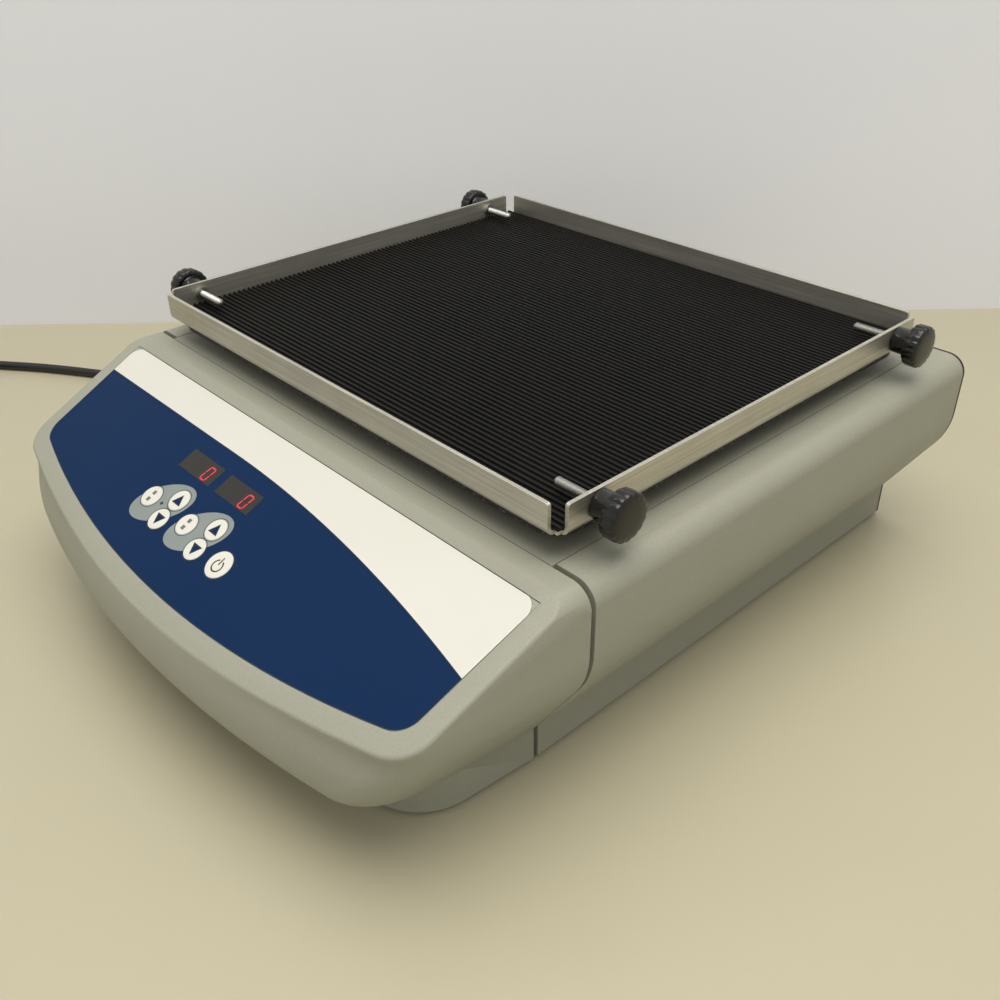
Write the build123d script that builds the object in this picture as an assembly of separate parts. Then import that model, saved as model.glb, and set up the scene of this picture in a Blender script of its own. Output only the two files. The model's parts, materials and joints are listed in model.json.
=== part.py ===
from build123d import *
import math
import os

# Bench-top orbital shaker, in millimetres.
# Origin: centre of the footprint on the bench. X to the user's right, Y to the back, Z up.

# Overall form of the case
overall_length = 436.0      # nose of the case to the back of the power inlet
body_half_width = 185.0     # widest part of the side panels
skirt_half_width = 152.0    # upright skirt below the side panels
deck_z = 121.2              # top of the flat deck above the bench
skirt_bottom_z = 2.0
shoulder_radius = 11.0      # rounding between deck and side
belly_z = 87.0              # the side turns under below this height
tuck_radius = 45.0
tuck_angle = 32.4           # slope of the lower side, from upright
wall = 3.0                  # moulded and extruded walls
seam = 0.5                  # fine joint between neighbouring panels
panel_gap = 2.8             # open joint between front housing and side panels
inlet_proud = 2.5           # power inlet behind the rear panel
rear_sheet = 2.0

# Front housing and control panel
front_length = 120.2        # nose to the deck's front seam
strip = 10.3                # level strip between that seam and the slope
panel_angle = 24.86         # slope of the control panel
ridge_inset = 4.0           # nose bulge in front of the panel's front ridge
front_arc = 650.0           # bow of the nose in plan
side_taper = 0.0843         # the sides close in towards the nose
bulge_z = 52.0              # height of the nose's foremost point
tuck_height = 31.5          # half height of the oval below that point
skirt_front_inset = 38.0    # nose to the front of the skirt
ridge_corner = 19.0         # plan corner radius at the ridge
skirt_corner = 33.0         # and at the skirt
ridge_round = 2.0

# Chassis and deck
base_sheet = 3.0
base_z = 6.0                # underside of the base plate
base_clear = 0.6            # base plate to skirt
deck_sheet = 2.0
ledge = 8.0                 # ledge that carries the deck's edge
ledge_thick = 2.5
foot_flange = 11.0          # side panel flange on the base plate
port_radius = 4.2           # screw ports for the rear panel
port_hole = 1.7
frame_screw = 2.0           # shank radius of the frame's screws
pan_head = (3.8, 1.7)       # radius and height
screw_clear = 0.1
lip_clear = 0.4             # tongue of the front housing behind the open joint
lip_thick = 2.0
lip_reach = 5.0
boss = 5.0                  # radius of the screw bosses in the front housing
collar_height = 3.0         # rim round each opening in the deck
collar_wall = 2.5

# Tray and platform
tray_width = 330.0
tray_depth = 284.0
tray_top_z = 150.0
flange_height = 16.0
tray_sheet = 2.0
bend_radius = 2.0           # inside radius of the flange bends
corner_gap = 6.0            # open corner between two flanges
tray_centre_y = 44.5
carrier_inset = 5.0
carrier_thick = 5.0
carrier_corner = 15.0
mat_thick = 2.5
mat_rib = 1.0               # height of the ribs on the mat
mat_edge = 1.3              # the mat's lower edge is cut back over the flanges' bends
mat_pitch = 3.4
mat_clear = 0.5
carrier_rib = 5.0
carrier_rib_drop = 3.4
tray_screw = 2.5
flange_corner = 1.5

# Orbit
orbit_radius = 9.5          # 19 mm orbit
drive_pin_y = 80.0          # crank pins, from the tray centre
idler_pin_x = 104.0
idler_pin_y = -70.0
pin_radius = 7.5
seat_clear = 0.02           # pressed and seated rings
running_clear = 0.05
web_top_z = 112.0
web_thick = 5.0
web_radius = 20.5
boss_wall = 4.0
boss_drop = 11.0            # bearing boss below the carrier plate
boss_swing_clear = 1.5      # boss to the deck's opening at full swing

# Ball bearings: outer radius, inner radius, width
large_bearing = (21.0, 10.0, 12.0)
small_bearing = (16.0, 7.5, 9.0)
shield_gap = 0.3

# Drive
motor_y = 12.0
motor_radius = 38.0
motor_height = 46.0
motor_plate_z = 84.0
motor_plate = 4.0
motor_shaft_radius = 4.0
motor_boss_radius = 11.0
pulley_bottom_z = 92.0
pulley_width = 14.0
drive_pulley_radius = 55.0
motor_pulley_radius = 11.0
belt_thick = 2.2
belt_width = 10.0
belt_clear = 0.3
rib_pitch = 2.5             # grooves of the pulleys and ribs of the belt
rib_depth = 1.2
counterweight_radius = 48.0
counterweight_thick = 9.0
counterweight_z = 79.0
housing_flange = 6.0
main_flange_radius = 45.0
flange_screw_inset = 5.5     # flange edge to screw
main_column_radius = 27.0
main_column_top = 76.0
idler_flange_radius = 33.0
idler_column_radius = 20.0
idler_column_top = 97.0
bracket_half = 41.0         # inside half width of the motor bracket
bracket_foot = 14.0
bracket_depth = 76.0

# Feet, pillars, boards and vents
foot_radius = 13.0
foot_web = 2.0
feet_at = [(-118.0, -135.0), (118.0, -135.0), (-118.0, 185.0), (118.0, 185.0)]
deck_posts_at = [(-128.0, -62.0), (128.0, -62.0), (-128.0, 165.0), (128.0, 165.0)]
supply_at = (-86.0, 118.0, 66.0, 100.0)         # centre, then width and depth
supply_height = 36.0
supply_tab = 11.0           # mounting tabs in front of and behind the supply's case
board_corner = 5.0          # corner to screw
control_board_at = (86.0, 118.0, 66.0, 110.0)
standoff_height = 8.0
vent_slots = 8
vent_x = 40.0
vent_pitch = 9.0
vent_z = 62.0
vent_length = 36.0
vent_width = 4.0
floor_slots = 6
floor_slot_span = 60.0

# Clamp screws in the left and right flanges
clamp_pitch = 236.0
clamp_z = 143.0
stud_radius = 2.4
stud_tip_x = 140.0
hub_length = 9.0
hub_radius = 6.3
knob_radius = 10.5
knob_thick = 7.0
knob_gap = 0.3
flutes = 16
flute_radius = 1.3
stud_in_knob = 12.0
nut_radius = 4.2
nut_proud = 1.6
nut_neck = 3.6              # radius of the nut's neck in the flange

# Control overlay on the sloping panel, measured from the top of the slope
overlay_top = 7.6
overlay_low = 82.3
overlay_nose = 105.7
overlay_half_top = 173.2
overlay_half_low = 167.0
overlay_arc = 589.0
overlay_thick = 0.6
overlay_proud = 0.1
overlay_clear = 0.2
window_size = (30.3, 12.3)
window_drop = 44.5
window_x = (-41.8, -5.1)
key_radius = 6.2
power_key_radius = 7.6
key_thick = 1.4
key_proud = 0.5
key_clear = 0.15
key_travel = 0.5
pad_pitch = 36.6            # from the speed keys to the time keys
mode_key = (-52.6, 71.9)
up_key = (-34.0, 65.0)
down_key = (-34.5, 78.6)
power_key = (22.5, 76.8)
pad_window = (104.0, 60.0)  # opening in the housing behind keys and displays
pad_window_centre = (-14.0, 61.0)
board_thick = 1.6
board_margin = 7.0
board_gap = 7.0             # front of the display board behind the overlay
overlay_low_corner = 13.0
overlay_top_corner = 8.0
digit_module = (28.0, 12.0)
switch_size = 6.0           # push switches on the display board
post_radius = 3.5
tapping_radius = 1.3        # shank of the small self-tapping screws

# Power inlet and cord
inlet_x = -98.0
inlet_z = 44.0
inlet_plate = (50.0, 34.0)
inlet_body = (27.0, 30.0)
inlet_socket = (24.4, 16.6)
inlet_socket_up = 5.5       # socket above the inlet's centre
inlet_depth = 17.0
inlet_back = 23.0           # inlet's body behind the rear panel
inlet_screw_pitch = 40.0
inlet_pins = [(-7.0, -1.5), (7.0, -1.5), (0.0, 2.5)]
pin_blade = (2.0, 4.0)
drawer_size = (22.0, 7.0)
drawer_down = 9.5
plug_clear = 0.4
grip_size = (28.0, 21.0)
grip_length = 22.0
relief_length = 22.0
relief_radius = 5.2
cord_radius = 3.5
coil_radius = 38.5          # middle of the turns
coil_wide = 3               # turns side by side
coil_high = 2
coil_at = (-483.9, -180.0)
mains_plug_at = (-446.0, -226.0, 12.5)
plug_length = 34.0
plug_wide = 25.0

# The cord's route over the bench, chosen by hand: down from its connector, behind the case,
# and out to the left
cord_route = [
    (-98.0, 262.8, 49.5), (-98.5, 288.0, 47.5), (-106.0, 318.0, 29.0), (-130.0, 341.0, 9.0),
    (-168.0, 347.0, 3.5), (-208.0, 334.0, 3.5), (-246.0, 301.0, 3.5), (-276.0, 250.0, 3.5),
    (-296.0, 190.0, 3.5), (-306.0, 126.0, 3.5), (-313.5, 62.0, 3.5), (-327.0, 6.0, 3.5),
    (-354.0, -33.0, 3.5), (-392.0, -57.0, 3.5), (-434.2, -82.7, 3.5), (-468.0, -107.6, 3.5),
    (-512.9, -145.0, 3.5),
]
cord_tail = [(-489.0, -221.0, 9.6), (-474.0, -222.6, 10.4), (-460.0, -226.0, 12.5), (-446.0, -226.0, 12.5)]

# Values that follow from the sizes above
nose_y = -overall_length / 2
rear_face_y = overall_length / 2 - inlet_proud
rear_inner_y = rear_face_y - rear_sheet
seam_y = nose_y + front_length
slope_y = seam_y - strip
ridge_y = nose_y + ridge_inset
slope_tan = math.tan(math.radians(panel_angle))
ridge_z = deck_z - (slope_y - ridge_y) * slope_tan
skirt_front_y = nose_y + skirt_front_inset
seam_x = body_half_width - shoulder_radius - 11.8
base_top = base_z + base_sheet
side_front_y = seam_y + panel_gap

tray_bottom_z = tray_top_z - flange_height
carrier_bottom_z = tray_bottom_z - carrier_thick
mat_z = tray_bottom_z + tray_sheet
boss_bottom_z = carrier_bottom_z - boss_drop
boss_radius = small_bearing[0] + boss_wall
deck_hole_radius = boss_radius + orbit_radius + boss_swing_clear
pins = [
    (0.0, tray_centre_y + drive_pin_y),
    (-idler_pin_x, tray_centre_y + idler_pin_y),
    (idler_pin_x, tray_centre_y + idler_pin_y),
]
axes = [(x, y + orbit_radius) for x, y in pins]
pulley_top_z = pulley_bottom_z + pulley_width
pin_bearing_z = boss_bottom_z + 1.0
pin_top_z = pin_bearing_z + small_bearing[2] + 0.5
board_front = overlay_thick - overlay_proud + board_gap
mat_top_z = mat_z + mat_thick
inlet_face_y = rear_face_y + inlet_proud

panel_plane = Plane(
    origin=(0, slope_y, deck_z),
    x_dir=(1, 0, 0),
    z_dir=(0, -math.sin(math.radians(panel_angle)), math.cos(math.radians(panel_angle))),
)


def block(x0, x1, y0, y1, z0, z1):
    """A box between two corners."""
    size = Box(abs(x1 - x0), abs(y1 - y0), abs(z1 - z0))
    return Pos((x0 + x1) / 2, (y0 + y1) / 2, (z0 + z1) / 2) * size


def rod(x, y, z0, z1, radius):
    """An upright round bar."""
    return Pos(x, y, (z0 + z1) / 2) * Cylinder(radius, z1 - z0)


def rod_x(y, z, x0, x1, radius):
    """A round bar along X."""
    return Pos((x0 + x1) / 2, y, z) * Rot(0, 90, 0) * Cylinder(radius, abs(x1 - x0))


def rod_y(x, z, y0, y1, radius):
    """A round bar along Y."""
    return Pos(x, (y0 + y1) / 2, z) * Rot(90, 0, 0) * Cylinder(radius, abs(y1 - y0))


def turned(points, x, y):
    """A turned piece: points are radius and height, round an upright axis."""
    face = make_face(Plane.XZ * Polyline(*points, close=True))
    return Pos(x, y, 0) * revolve(face, Axis.Z)


def socket_screw(x, y, seat_z, reach, radius, up=True):
    """A socket-head screw whose head sits on seat_z and whose shank reaches reach below it."""
    way = 1 if up else -1
    head_radius = radius * 1.75
    head = radius * 1.9
    low, high = sorted((seat_z, seat_z + way * head))
    screw = rod(x, y, low, high, head_radius)
    low, high = sorted((seat_z - way * reach, seat_z))
    screw += rod(x, y, low, high, radius)
    hexagon = extrude(RegularPolygon(radius, 6), head * 0.55)
    top = seat_z + way * head
    shift = top - head * 0.55 if up else top
    return screw - Pos(x, y, shift) * hexagon


def save(name, shape):
    """Write one sub-part."""
    export_step(shape, f"parts/{name}.step")


def group(shapes):
    """Separate solids in one sub-part."""
    solids = []
    for shape in shapes:
        solids.extend(shape.solids())
    return Compound(children=solids)


# Case


def tuck_end(inset):
    """Where the lower curve of the side runs into its straight slope."""
    radius = tuck_radius - inset
    angle = math.radians(tuck_angle)
    x = body_half_width - inset - radius * (1 - math.cos(angle))
    z = belly_z - radius * math.sin(angle)
    return x, z


def skirt_top(inset):
    """Height at which the sloping side meets the upright skirt."""
    x, z = tuck_end(inset)
    return z - (x - skirt_half_width + inset) / math.tan(math.radians(tuck_angle))


def side_x(z):
    """Half width of the case at a height."""
    end_x, end_z = tuck_end(0)
    if z >= belly_z:
        return body_half_width
    if z >= end_z:
        drop = belly_z - z
        return body_half_width - tuck_radius + math.sqrt(tuck_radius ** 2 - drop ** 2)
    return end_x - (end_z - z) * math.tan(math.radians(tuck_angle))


def side_edges(inset, top_z, radius, sign=1):
    """The outline of the right side from the seam to the skirt's foot, or its mirror image."""
    half = body_half_width - inset
    angle = math.radians(tuck_angle / 2)
    tuck = tuck_radius - inset
    end_x, end_z = tuck_end(inset)
    mid_x = half - tuck * (1 - math.cos(angle))
    mid_z = belly_z - tuck * math.sin(angle)
    bend = radius * math.sqrt(0.5)
    foot_x = skirt_half_width - inset

    def at(x, z):
        return sign * x, z

    return [
        ThreePointArc(
            at(half - radius, top_z),
            at(half - radius + bend, top_z - radius + bend),
            at(half, top_z - radius),
        ),
        Line(at(half, top_z - radius), at(half, belly_z)),
        ThreePointArc(at(half, belly_z), at(mid_x, mid_z), at(end_x, end_z)),
        Line(at(end_x, end_z), at(foot_x, skirt_top(inset))),
    ]


def side_section():
    """Cross-section of a side panel, with the deck's ledge, a foot flange and two screw ports."""
    inner = wall
    inner_top = deck_z - deck_sheet - ledge_thick
    inner_radius = shoulder_radius - inner
    foot_x = skirt_half_width - inner
    edges = [Line((seam_x, deck_z), (body_half_width - shoulder_radius, deck_z))]
    edges += side_edges(0, deck_z, shoulder_radius)
    edges += [
        Line((skirt_half_width, skirt_top(0)), (skirt_half_width, skirt_bottom_z)),
        Line((skirt_half_width, skirt_bottom_z), (foot_x, skirt_bottom_z)),
        Line((foot_x, skirt_bottom_z), (foot_x, base_top)),
        Line((foot_x, base_top), (foot_x - foot_flange, base_top)),
        Line((foot_x - foot_flange, base_top), (foot_x - foot_flange, base_top + wall)),
        Line((foot_x - foot_flange, base_top + wall), (foot_x, base_top + wall)),
        Line((foot_x, base_top + wall), (foot_x, skirt_top(inner))),
    ]
    edges += side_edges(inner, inner_top, inner_radius)
    edges += [
        Line((body_half_width - inner - inner_radius, inner_top), (seam_x - ledge, inner_top)),
        Line((seam_x - ledge, inner_top), (seam_x - ledge, deck_z - deck_sheet)),
        Line((seam_x - ledge, deck_z - deck_sheet), (seam_x, deck_z - deck_sheet)),
        Line((seam_x, deck_z - deck_sheet), (seam_x, deck_z)),
    ]
    section = make_face(edges)
    for x, z in screw_ports():
        section += Pos(x, z) * Circle(port_radius)
    for x, z in screw_ports():
        section -= Pos(x, z) * Circle(port_hole)
    return section


def screw_ports():
    """Screw ports inside the side panels, which the rear panel's screws enter."""
    high = (body_half_width - wall - port_radius + 1.0, deck_z - deck_sheet - shoulder_radius - 4.0)
    low_z = base_top + wall + port_radius + 3.0
    low = (skirt_half_width - wall - port_radius + 1.0, low_z)
    return [high, low]


def side_panel(sign):
    """One extruded side of the case."""
    length = rear_inner_y - side_front_y
    panel = Plane.XZ.offset(-rear_inner_y) * side_section()
    panel = extrude(panel, length)
    for x, y in side_screw_places():
        panel -= rod(x, y, base_top - 1, base_top + wall + 1, frame_screw + screw_clear)
    panel -= case_run(wall, deck_z - deck_sheet - ledge_thick, shoulder_radius - wall,
                      side_front_y - 1, side_front_y + lip_reach + 1)
    return panel if sign > 0 else mirror(panel, Plane.YZ)


def side_screw_places():
    """Screws through the base plate into the side panels' foot flanges."""
    x = skirt_half_width - wall - foot_flange / 2
    return [(x, side_front_y + 25), (x, (side_front_y + rear_inner_y) / 2), (x, rear_inner_y - 25)]


def nose_at(z):
    """Foremost point of the front housing at a height."""
    if z >= ridge_z:
        return ridge_y
    if z >= bulge_z:
        turn = math.pi / 2 * (ridge_z - z) / (ridge_z - bulge_z)
        return ridge_y - ridge_inset * math.sin(turn)
    reach = 1 - math.sqrt(1 - ((bulge_z - z) / tuck_height) ** 2)
    full = 1 - math.sqrt(1 - ((bulge_z - skirt_top(0)) / tuck_height) ** 2)
    return nose_y + skirt_front_inset * reach / full


def plan_outline(z, half, nose, corner):
    """Horizontal section through the front housing: tapered sides and a bowed front."""
    def front(x):
        return nose + front_arc - math.sqrt(front_arc ** 2 - x ** 2)

    x = half
    for _ in range(20):
        x = half - side_taper * (seam_y - front(x))
    y = front(x)
    face = make_face([
        Line((-half, seam_y), (-x, y)),
        ThreePointArc((-x, y), (0, nose), (x, y)),
        Line((x, y), (half, seam_y)),
        Line((half, seam_y), (-half, seam_y)),
    ])
    corners = face.vertices().sort_by(Axis.Y)[:2]
    return Pos(0, 0, z) * fillet(corners, corner)


def corner_at(z):
    """Plan corner radius, which opens from the ridge to the skirt."""
    share = min(1.0, max(0.0, (belly_z - z) / (belly_z - skirt_top(0))))
    return ridge_corner + (skirt_corner - ridge_corner) * share


def front_form(inset):
    """The front housing's outer form, or its cavity when inset by the wall."""
    low = skirt_top(0)
    levels = [belly_z, (belly_z + ridge_z) / 2, ridge_z]
    levels += [ridge_z + (bulge_z - ridge_z) * k / 3 for k in (1, 2, 3)]
    levels += [bulge_z + (low - bulge_z) * math.sin(math.pi / 2 * k / 5) for k in (1, 2, 3, 4, 5)]

    def section(z):
        half = side_x(z) - inset
        return plan_outline(z, half, nose_at(z) + inset, corner_at(z) - inset)

    upper = extrude(section(belly_z), deck_z - belly_z + 4)
    middle = loft([section(z) for z in levels])
    lower = extrude(section(low), skirt_bottom_z - low - (1 if inset else 0))
    return upper + middle + lower


def case_section(inset, top_z, radius):
    """The case's full cross-section from skirt to skirt."""
    foot = skirt_bottom_z - 2
    edges = []
    for sign in (1, -1):
        edges += side_edges(inset, top_z, radius, sign)
        foot_x = sign * (skirt_half_width - inset)
        edges.append(Line((foot_x, skirt_top(inset)), (foot_x, foot)))
    half = body_half_width - inset - radius
    edges.append(Line((-half, top_z), (half, top_z)))
    foot_x = skirt_half_width - inset
    edges.append(Line((-foot_x, foot), (foot_x, foot)))
    return make_face(edges)


def case_run(inset, top_z, radius, y0, y1):
    """The case's cross-section run from y0 to y1."""
    section = Plane.XZ.offset(-y1) * case_section(inset, top_z, radius)
    return extrude(section, y1 - y0)


def below_slope(drop):
    """Everything below the control panel's plane."""
    tall = 2 * deck_z
    size = Box(4 * body_half_width, 4 * front_length, tall)
    return panel_plane.offset(-drop) * Pos(0, 0, -tall / 2) * size


def on_panel(x, drop, low, high, face):
    """A piece on the control panel: x across, drop down the slope, low and high off its plane."""
    return panel_plane.offset(low) * Pos(x, -drop) * extrude(face, high - low)


def overlay_face(grow):
    """Outline of the control overlay, seen square on, grown all round."""
    def nose(x):
        return -overlay_nose + overlay_arc - math.sqrt(overlay_arc ** 2 - x ** 2)

    slant = (overlay_half_top - overlay_half_low) / (overlay_low - overlay_top)
    x = overlay_half_low
    for _ in range(10):
        x = overlay_half_top - slant * (-nose(x) - overlay_top)
    y = nose(x)
    face = make_face([
        Line((-overlay_half_top, -overlay_top), (overlay_half_top, -overlay_top)),
        Line((overlay_half_top, -overlay_top), (x, y)),
        ThreePointArc((x, y), (0, -overlay_nose), (-x, y)),
        Line((-x, y), (-overlay_half_top, -overlay_top)),
    ])
    corners = face.vertices().sort_by(Axis.Y)
    face = fillet(corners[:2], overlay_low_corner)
    corners = face.vertices().sort_by(Axis.Y)[-2:]
    face = fillet(corners, overlay_top_corner)
    return offset(face, grow) if grow else face


def front_skirt_y(x):
    """Outer face of the front skirt."""
    return skirt_front_y + front_arc - math.sqrt(front_arc ** 2 - x ** 2)


def front_boss_places():
    """Screw bosses of the front housing on the base plate."""
    side_x0 = skirt_half_width - wall - boss + 0.8
    nose_x = 75.0
    nose_boss_y = front_skirt_y(nose_x) + wall + boss - 1.0
    return [(s * side_x0, seam_y - 12) for s in (1, -1)] + [(s * nose_x, nose_boss_y) for s in (1, -1)]


def board_corners():
    """Screw posts of the display board, across and down the slope."""
    half_x = pad_window[0] / 2 + board_margin / 2
    half_y = pad_window[1] / 2 + board_margin / 2
    x, y = pad_window_centre
    return [(x + sx * half_x, y + sy * half_y) for sx in (-1, 1) for sy in (-1, 1)]


def front_housing():
    """Moulded nose of the case with its sloping control panel."""
    solid = front_form(0) & case_run(0, deck_z, shoulder_radius, nose_y - 2, seam_y)
    solid = solid & below_slope(0)
    rim = []
    for edge in solid.edges():
        middle = panel_plane.to_local_coords(edge @ 0.5)
        if abs(middle.Z) < 0.01 and middle.Y < -0.5:
            rim.append(edge)
    solid = fillet(rim, ridge_round)
    inner_top = deck_z - deck_sheet - ledge_thick
    inner_radius = shoulder_radius - wall
    cavity = front_form(wall) & case_run(wall, inner_top, inner_radius, nose_y - 2, seam_y + 1)
    solid -= cavity & below_slope(wall)
    half = seam_x - ledge - seam
    solid += block(-half, half, seam_y - wall, seam_y + ledge, inner_top, inner_top + ledge_thick)
    tongue = wall + lip_clear
    outer = case_run(tongue, inner_top - lip_clear, inner_radius - lip_clear, seam_y - wall,
                     side_front_y + lip_reach)
    inner = tongue + lip_thick
    lip = outer - case_run(inner, inner_top - lip_clear - lip_thick, inner_radius - lip_clear - lip_thick,
                           seam_y - 2 * wall, side_front_y + 2 * lip_reach)
    ring = case_run(wall - 0.5, inner_top + 0.5, inner_radius + 0.5, seam_y - wall, seam_y - 0.5)
    ring -= case_run(inner, inner_top - lip_clear - lip_thick, inner_radius - lip_clear - lip_thick,
                     seam_y - 2 * wall, side_front_y)
    middle = seam_x - 2 * ledge
    gap = block(-middle, middle, seam_y - 2 * wall, side_front_y + 2 * lip_reach, -1, deck_z)
    floor = block(-body_half_width, body_half_width, seam_y - 2 * wall, side_front_y + 2 * lip_reach,
                  -1, base_top + lip_clear)
    solid += (lip + ring) - gap - floor
    for x, y in front_boss_places():
        solid += rod(x, y, base_top, base_top + 2 * boss, boss)
        solid -= rod(x, y, base_top - 1, base_top + 2 * boss - 1.5, port_hole)
    depth = overlay_thick - overlay_proud
    solid -= on_panel(0, 0, -depth, 4, overlay_face(overlay_clear))
    x, drop = pad_window_centre
    solid -= on_panel(x, drop, -2 * wall, 0, Rectangle(*pad_window))
    for x, drop in board_corners():
        solid += on_panel(x, drop, -board_front, -wall + 0.5, Circle(post_radius))
        solid -= on_panel(x, drop, -board_front - 1, -wall - 0.3, Circle(tapping_radius + running_clear))
    return solid


def deck_panel():
    """Flat top of the case, with a rimmed opening for each crank."""
    half = seam_x - seam
    sheet = block(-half, half, seam_y + seam, rear_inner_y - seam, deck_z - deck_sheet, deck_z)
    for x, y in axes:
        sheet += rod(x, y, deck_z, deck_z + collar_height, deck_hole_radius + collar_wall)
    for x, y in axes:
        sheet -= rod(x, y, deck_z - 5, deck_z + 5, deck_hole_radius)
    for x, y in deck_posts_at:
        sheet -= rod(x, y, deck_z - 5, deck_z + 5, frame_screw + screw_clear)
    return sheet


def rear_panel():
    """Flat rear plate with the power inlet's cut-out and two banks of vents."""
    section = case_section(0, deck_z, shoulder_radius)
    plate = extrude(Plane.XZ.offset(-rear_face_y) * section, rear_sheet)
    plate &= block(-200, 200, rear_inner_y - 5, rear_face_y + 5, skirt_bottom_z, deck_z + 5)
    cut_x, cut_z = inlet_body[0] + 2 * overlay_clear, inlet_body[1] + 2 * overlay_clear
    plate -= Pos(inlet_x, rear_inner_y, inlet_z) * Box(cut_x, 4 * rear_sheet, cut_z)
    for sign in (-1, 1):
        plate -= rod_y(inlet_x + sign * inlet_screw_pitch / 2, inlet_z, rear_inner_y - 1, rear_face_y + 1,
                       tapping_radius + running_clear)
    for k in range(vent_slots):
        x = vent_x + k * vent_pitch
        slot = Plane.XZ.offset(-rear_face_y - 1) * Pos(x, vent_z) * SlotOverall(vent_length, vent_width, rotation=90)
        plate -= extrude(slot, rear_sheet + 2)
    for x, z in screw_ports():
        for sign in (-1, 1):
            plate -= rod_y(sign * x, z, rear_inner_y - 1, rear_face_y + 1, port_hole + screw_clear)
    return plate


def tapping_screws():
    """Self-tapping screws of the rear panel, the power inlet and the display board."""
    screws = []
    radius = port_hole - running_clear
    for x, z in screw_ports():
        for sign in (-1, 1):
            head = rod_y(sign * x, z, rear_face_y, rear_face_y + 1.8, 3.2)
            screws.append(head + rod_y(sign * x, z, rear_inner_y - 10, rear_face_y, radius))
    for sign in (-1, 1):
        x = inlet_x + sign * inlet_screw_pitch / 2
        screws.append(inlet_screw(x, 0, inlet_face_y - rear_inner_y + 4))
    for x, drop in board_corners():
        back = -board_front - board_thick
        head = on_panel(x, drop, back - 1.6, back, Circle(2.4))
        screws.append(head + on_panel(x, drop, back, -board_front + 3.0, Circle(tapping_radius)))
    return screws


def inlet_screw(x, grow, reach):
    """A countersunk screw flush with the inlet's face, or its hole when grown."""
    radius = tapping_radius + grow
    screw = turned([(0, 0), (2 * tapping_radius + grow, 0), (radius, tapping_radius), (radius, reach), (0, reach)], 0, 0)
    return Pos(x, inlet_face_y, inlet_z) * Rot(90, 0, 0) * screw


# Chassis


def base_plate():
    """Steel plate that carries everything, inside the skirts."""
    inset = wall + base_clear
    half = skirt_half_width - inset
    face = plan_outline(0, half, skirt_front_y + inset, skirt_corner - inset)
    back = rear_inner_y - seam
    face += Pos(0, (seam_y + back) / 2) * Rectangle(2 * half, back - seam_y)
    plate = Pos(0, 0, base_z) * extrude(face, base_sheet)
    for x, y in plate_holes():
        plate -= rod(x, y, base_z - 1, base_top + 1, frame_screw + screw_clear)
    for k in range(floor_slots):
        x = -floor_slot_span / 2 + k * floor_slot_span / (floor_slots - 1)
        slot = Pos(x, motor_y, base_z - 1) * extrude(SlotOverall(24, 4, rotation=90), base_sheet + 2)
        plate -= slot
    return plate


def main_flange_holes():
    """Screws of the main bearing housing."""
    x, y = axes[0]
    reach = main_flange_radius - flange_screw_inset
    return [(x + reach * math.cos(a), y + reach * math.sin(a)) for a in quarter_turns(45)]


def idler_flange_holes():
    """Screws of the two idler bearing housings."""
    reach = idler_flange_radius - flange_screw_inset
    places = []
    for x, y in axes[1:]:
        places += [(x + reach * math.cos(a), y + reach * math.sin(a)) for a in quarter_turns(45)]
    return places


def quarter_turns(first):
    """Four equal turns, in radians."""
    return [math.radians(first + 90 * k) for k in range(4)]


def bracket_holes():
    """Screws of the motor bracket's feet."""
    x = bracket_half + motor_plate + bracket_foot / 2
    return [(sx * x, motor_y + sy * bracket_depth / 3) for sx in (-1, 1) for sy in (-1, 1)]


def board_holes(board):
    """Corner holes of a flat board: centre and size."""
    x, y, wide, deep = board
    reach_x, reach_y = wide / 2 - board_corner, deep / 2 - board_corner
    return [(x + sx * reach_x, y + sy * reach_y) for sx in (-1, 1) for sy in (-1, 1)]


def plate_holes():
    """Every screw hole in the base plate."""
    places = main_flange_holes() + idler_flange_holes() + bracket_holes() + feet_at + deck_posts_at
    places += [(s * x, y) for x, y in side_screw_places() for s in (1, -1)]
    return places + front_boss_places() + board_holes(control_board_at) + board_holes(supply_at)


def rubber_foot(x, y):
    """A tapered foot with a sunk hole for its screw."""
    foot = turned([(0, 0), (foot_radius - 2, 0), (foot_radius, base_z), (0, base_z)], x, y)
    foot -= rod(x, y, -1, base_z - foot_web, pan_head[0] + 1)
    return foot - rod(x, y, -1, base_z + 1, frame_screw + running_clear)


def pan_screw(x, y, seat_z, reach, up=True):
    """A pan-head screw whose head sits on seat_z and whose shank runs the other way."""
    way = 1 if up else -1
    radius, height = pan_head
    low, high = sorted((seat_z, seat_z + way * height))
    head = rod(x, y, low, high, radius)
    rim = head.edges().group_by(Axis.Z)[-1 if up else 0]
    head = fillet(rim, height * 0.5)
    low, high = sorted((seat_z - way * reach, seat_z))
    screw = head + rod(x, y, low, high, frame_screw)
    top = seat_z + way * height
    slot = Pos(x, y, top) * (Box(4, 0.8, 1.2) + Box(0.8, 4, 1.2))
    return screw - slot


def pan_screws():
    """Pan-head screws of the deck, the feet, the control board and the power supply."""
    low = base_top + standoff_height
    screws = [pan_screw(x, y, deck_z, 12) for x, y in deck_posts_at]
    screws += [pan_screw(x, y, base_z - foot_web, foot_web + base_sheet + 2, up=False) for x, y in feet_at]
    screws += [pan_screw(x, y, low + board_thick, board_thick + 5) for x, y in board_holes(control_board_at)]
    screws += [pan_screw(x, y, low + board_thick, board_thick + 5) for x, y in board_holes(supply_at)]
    return screws


def deck_post(x, y):
    """Hexagonal pillar between base plate and deck, drilled at both ends."""
    post = Pos(x, y, base_top) * extrude(RegularPolygon(5.5, 6), deck_z - deck_sheet - base_top)
    return post - rod(x, y, base_top - 1, deck_z, frame_screw + running_clear)


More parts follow.
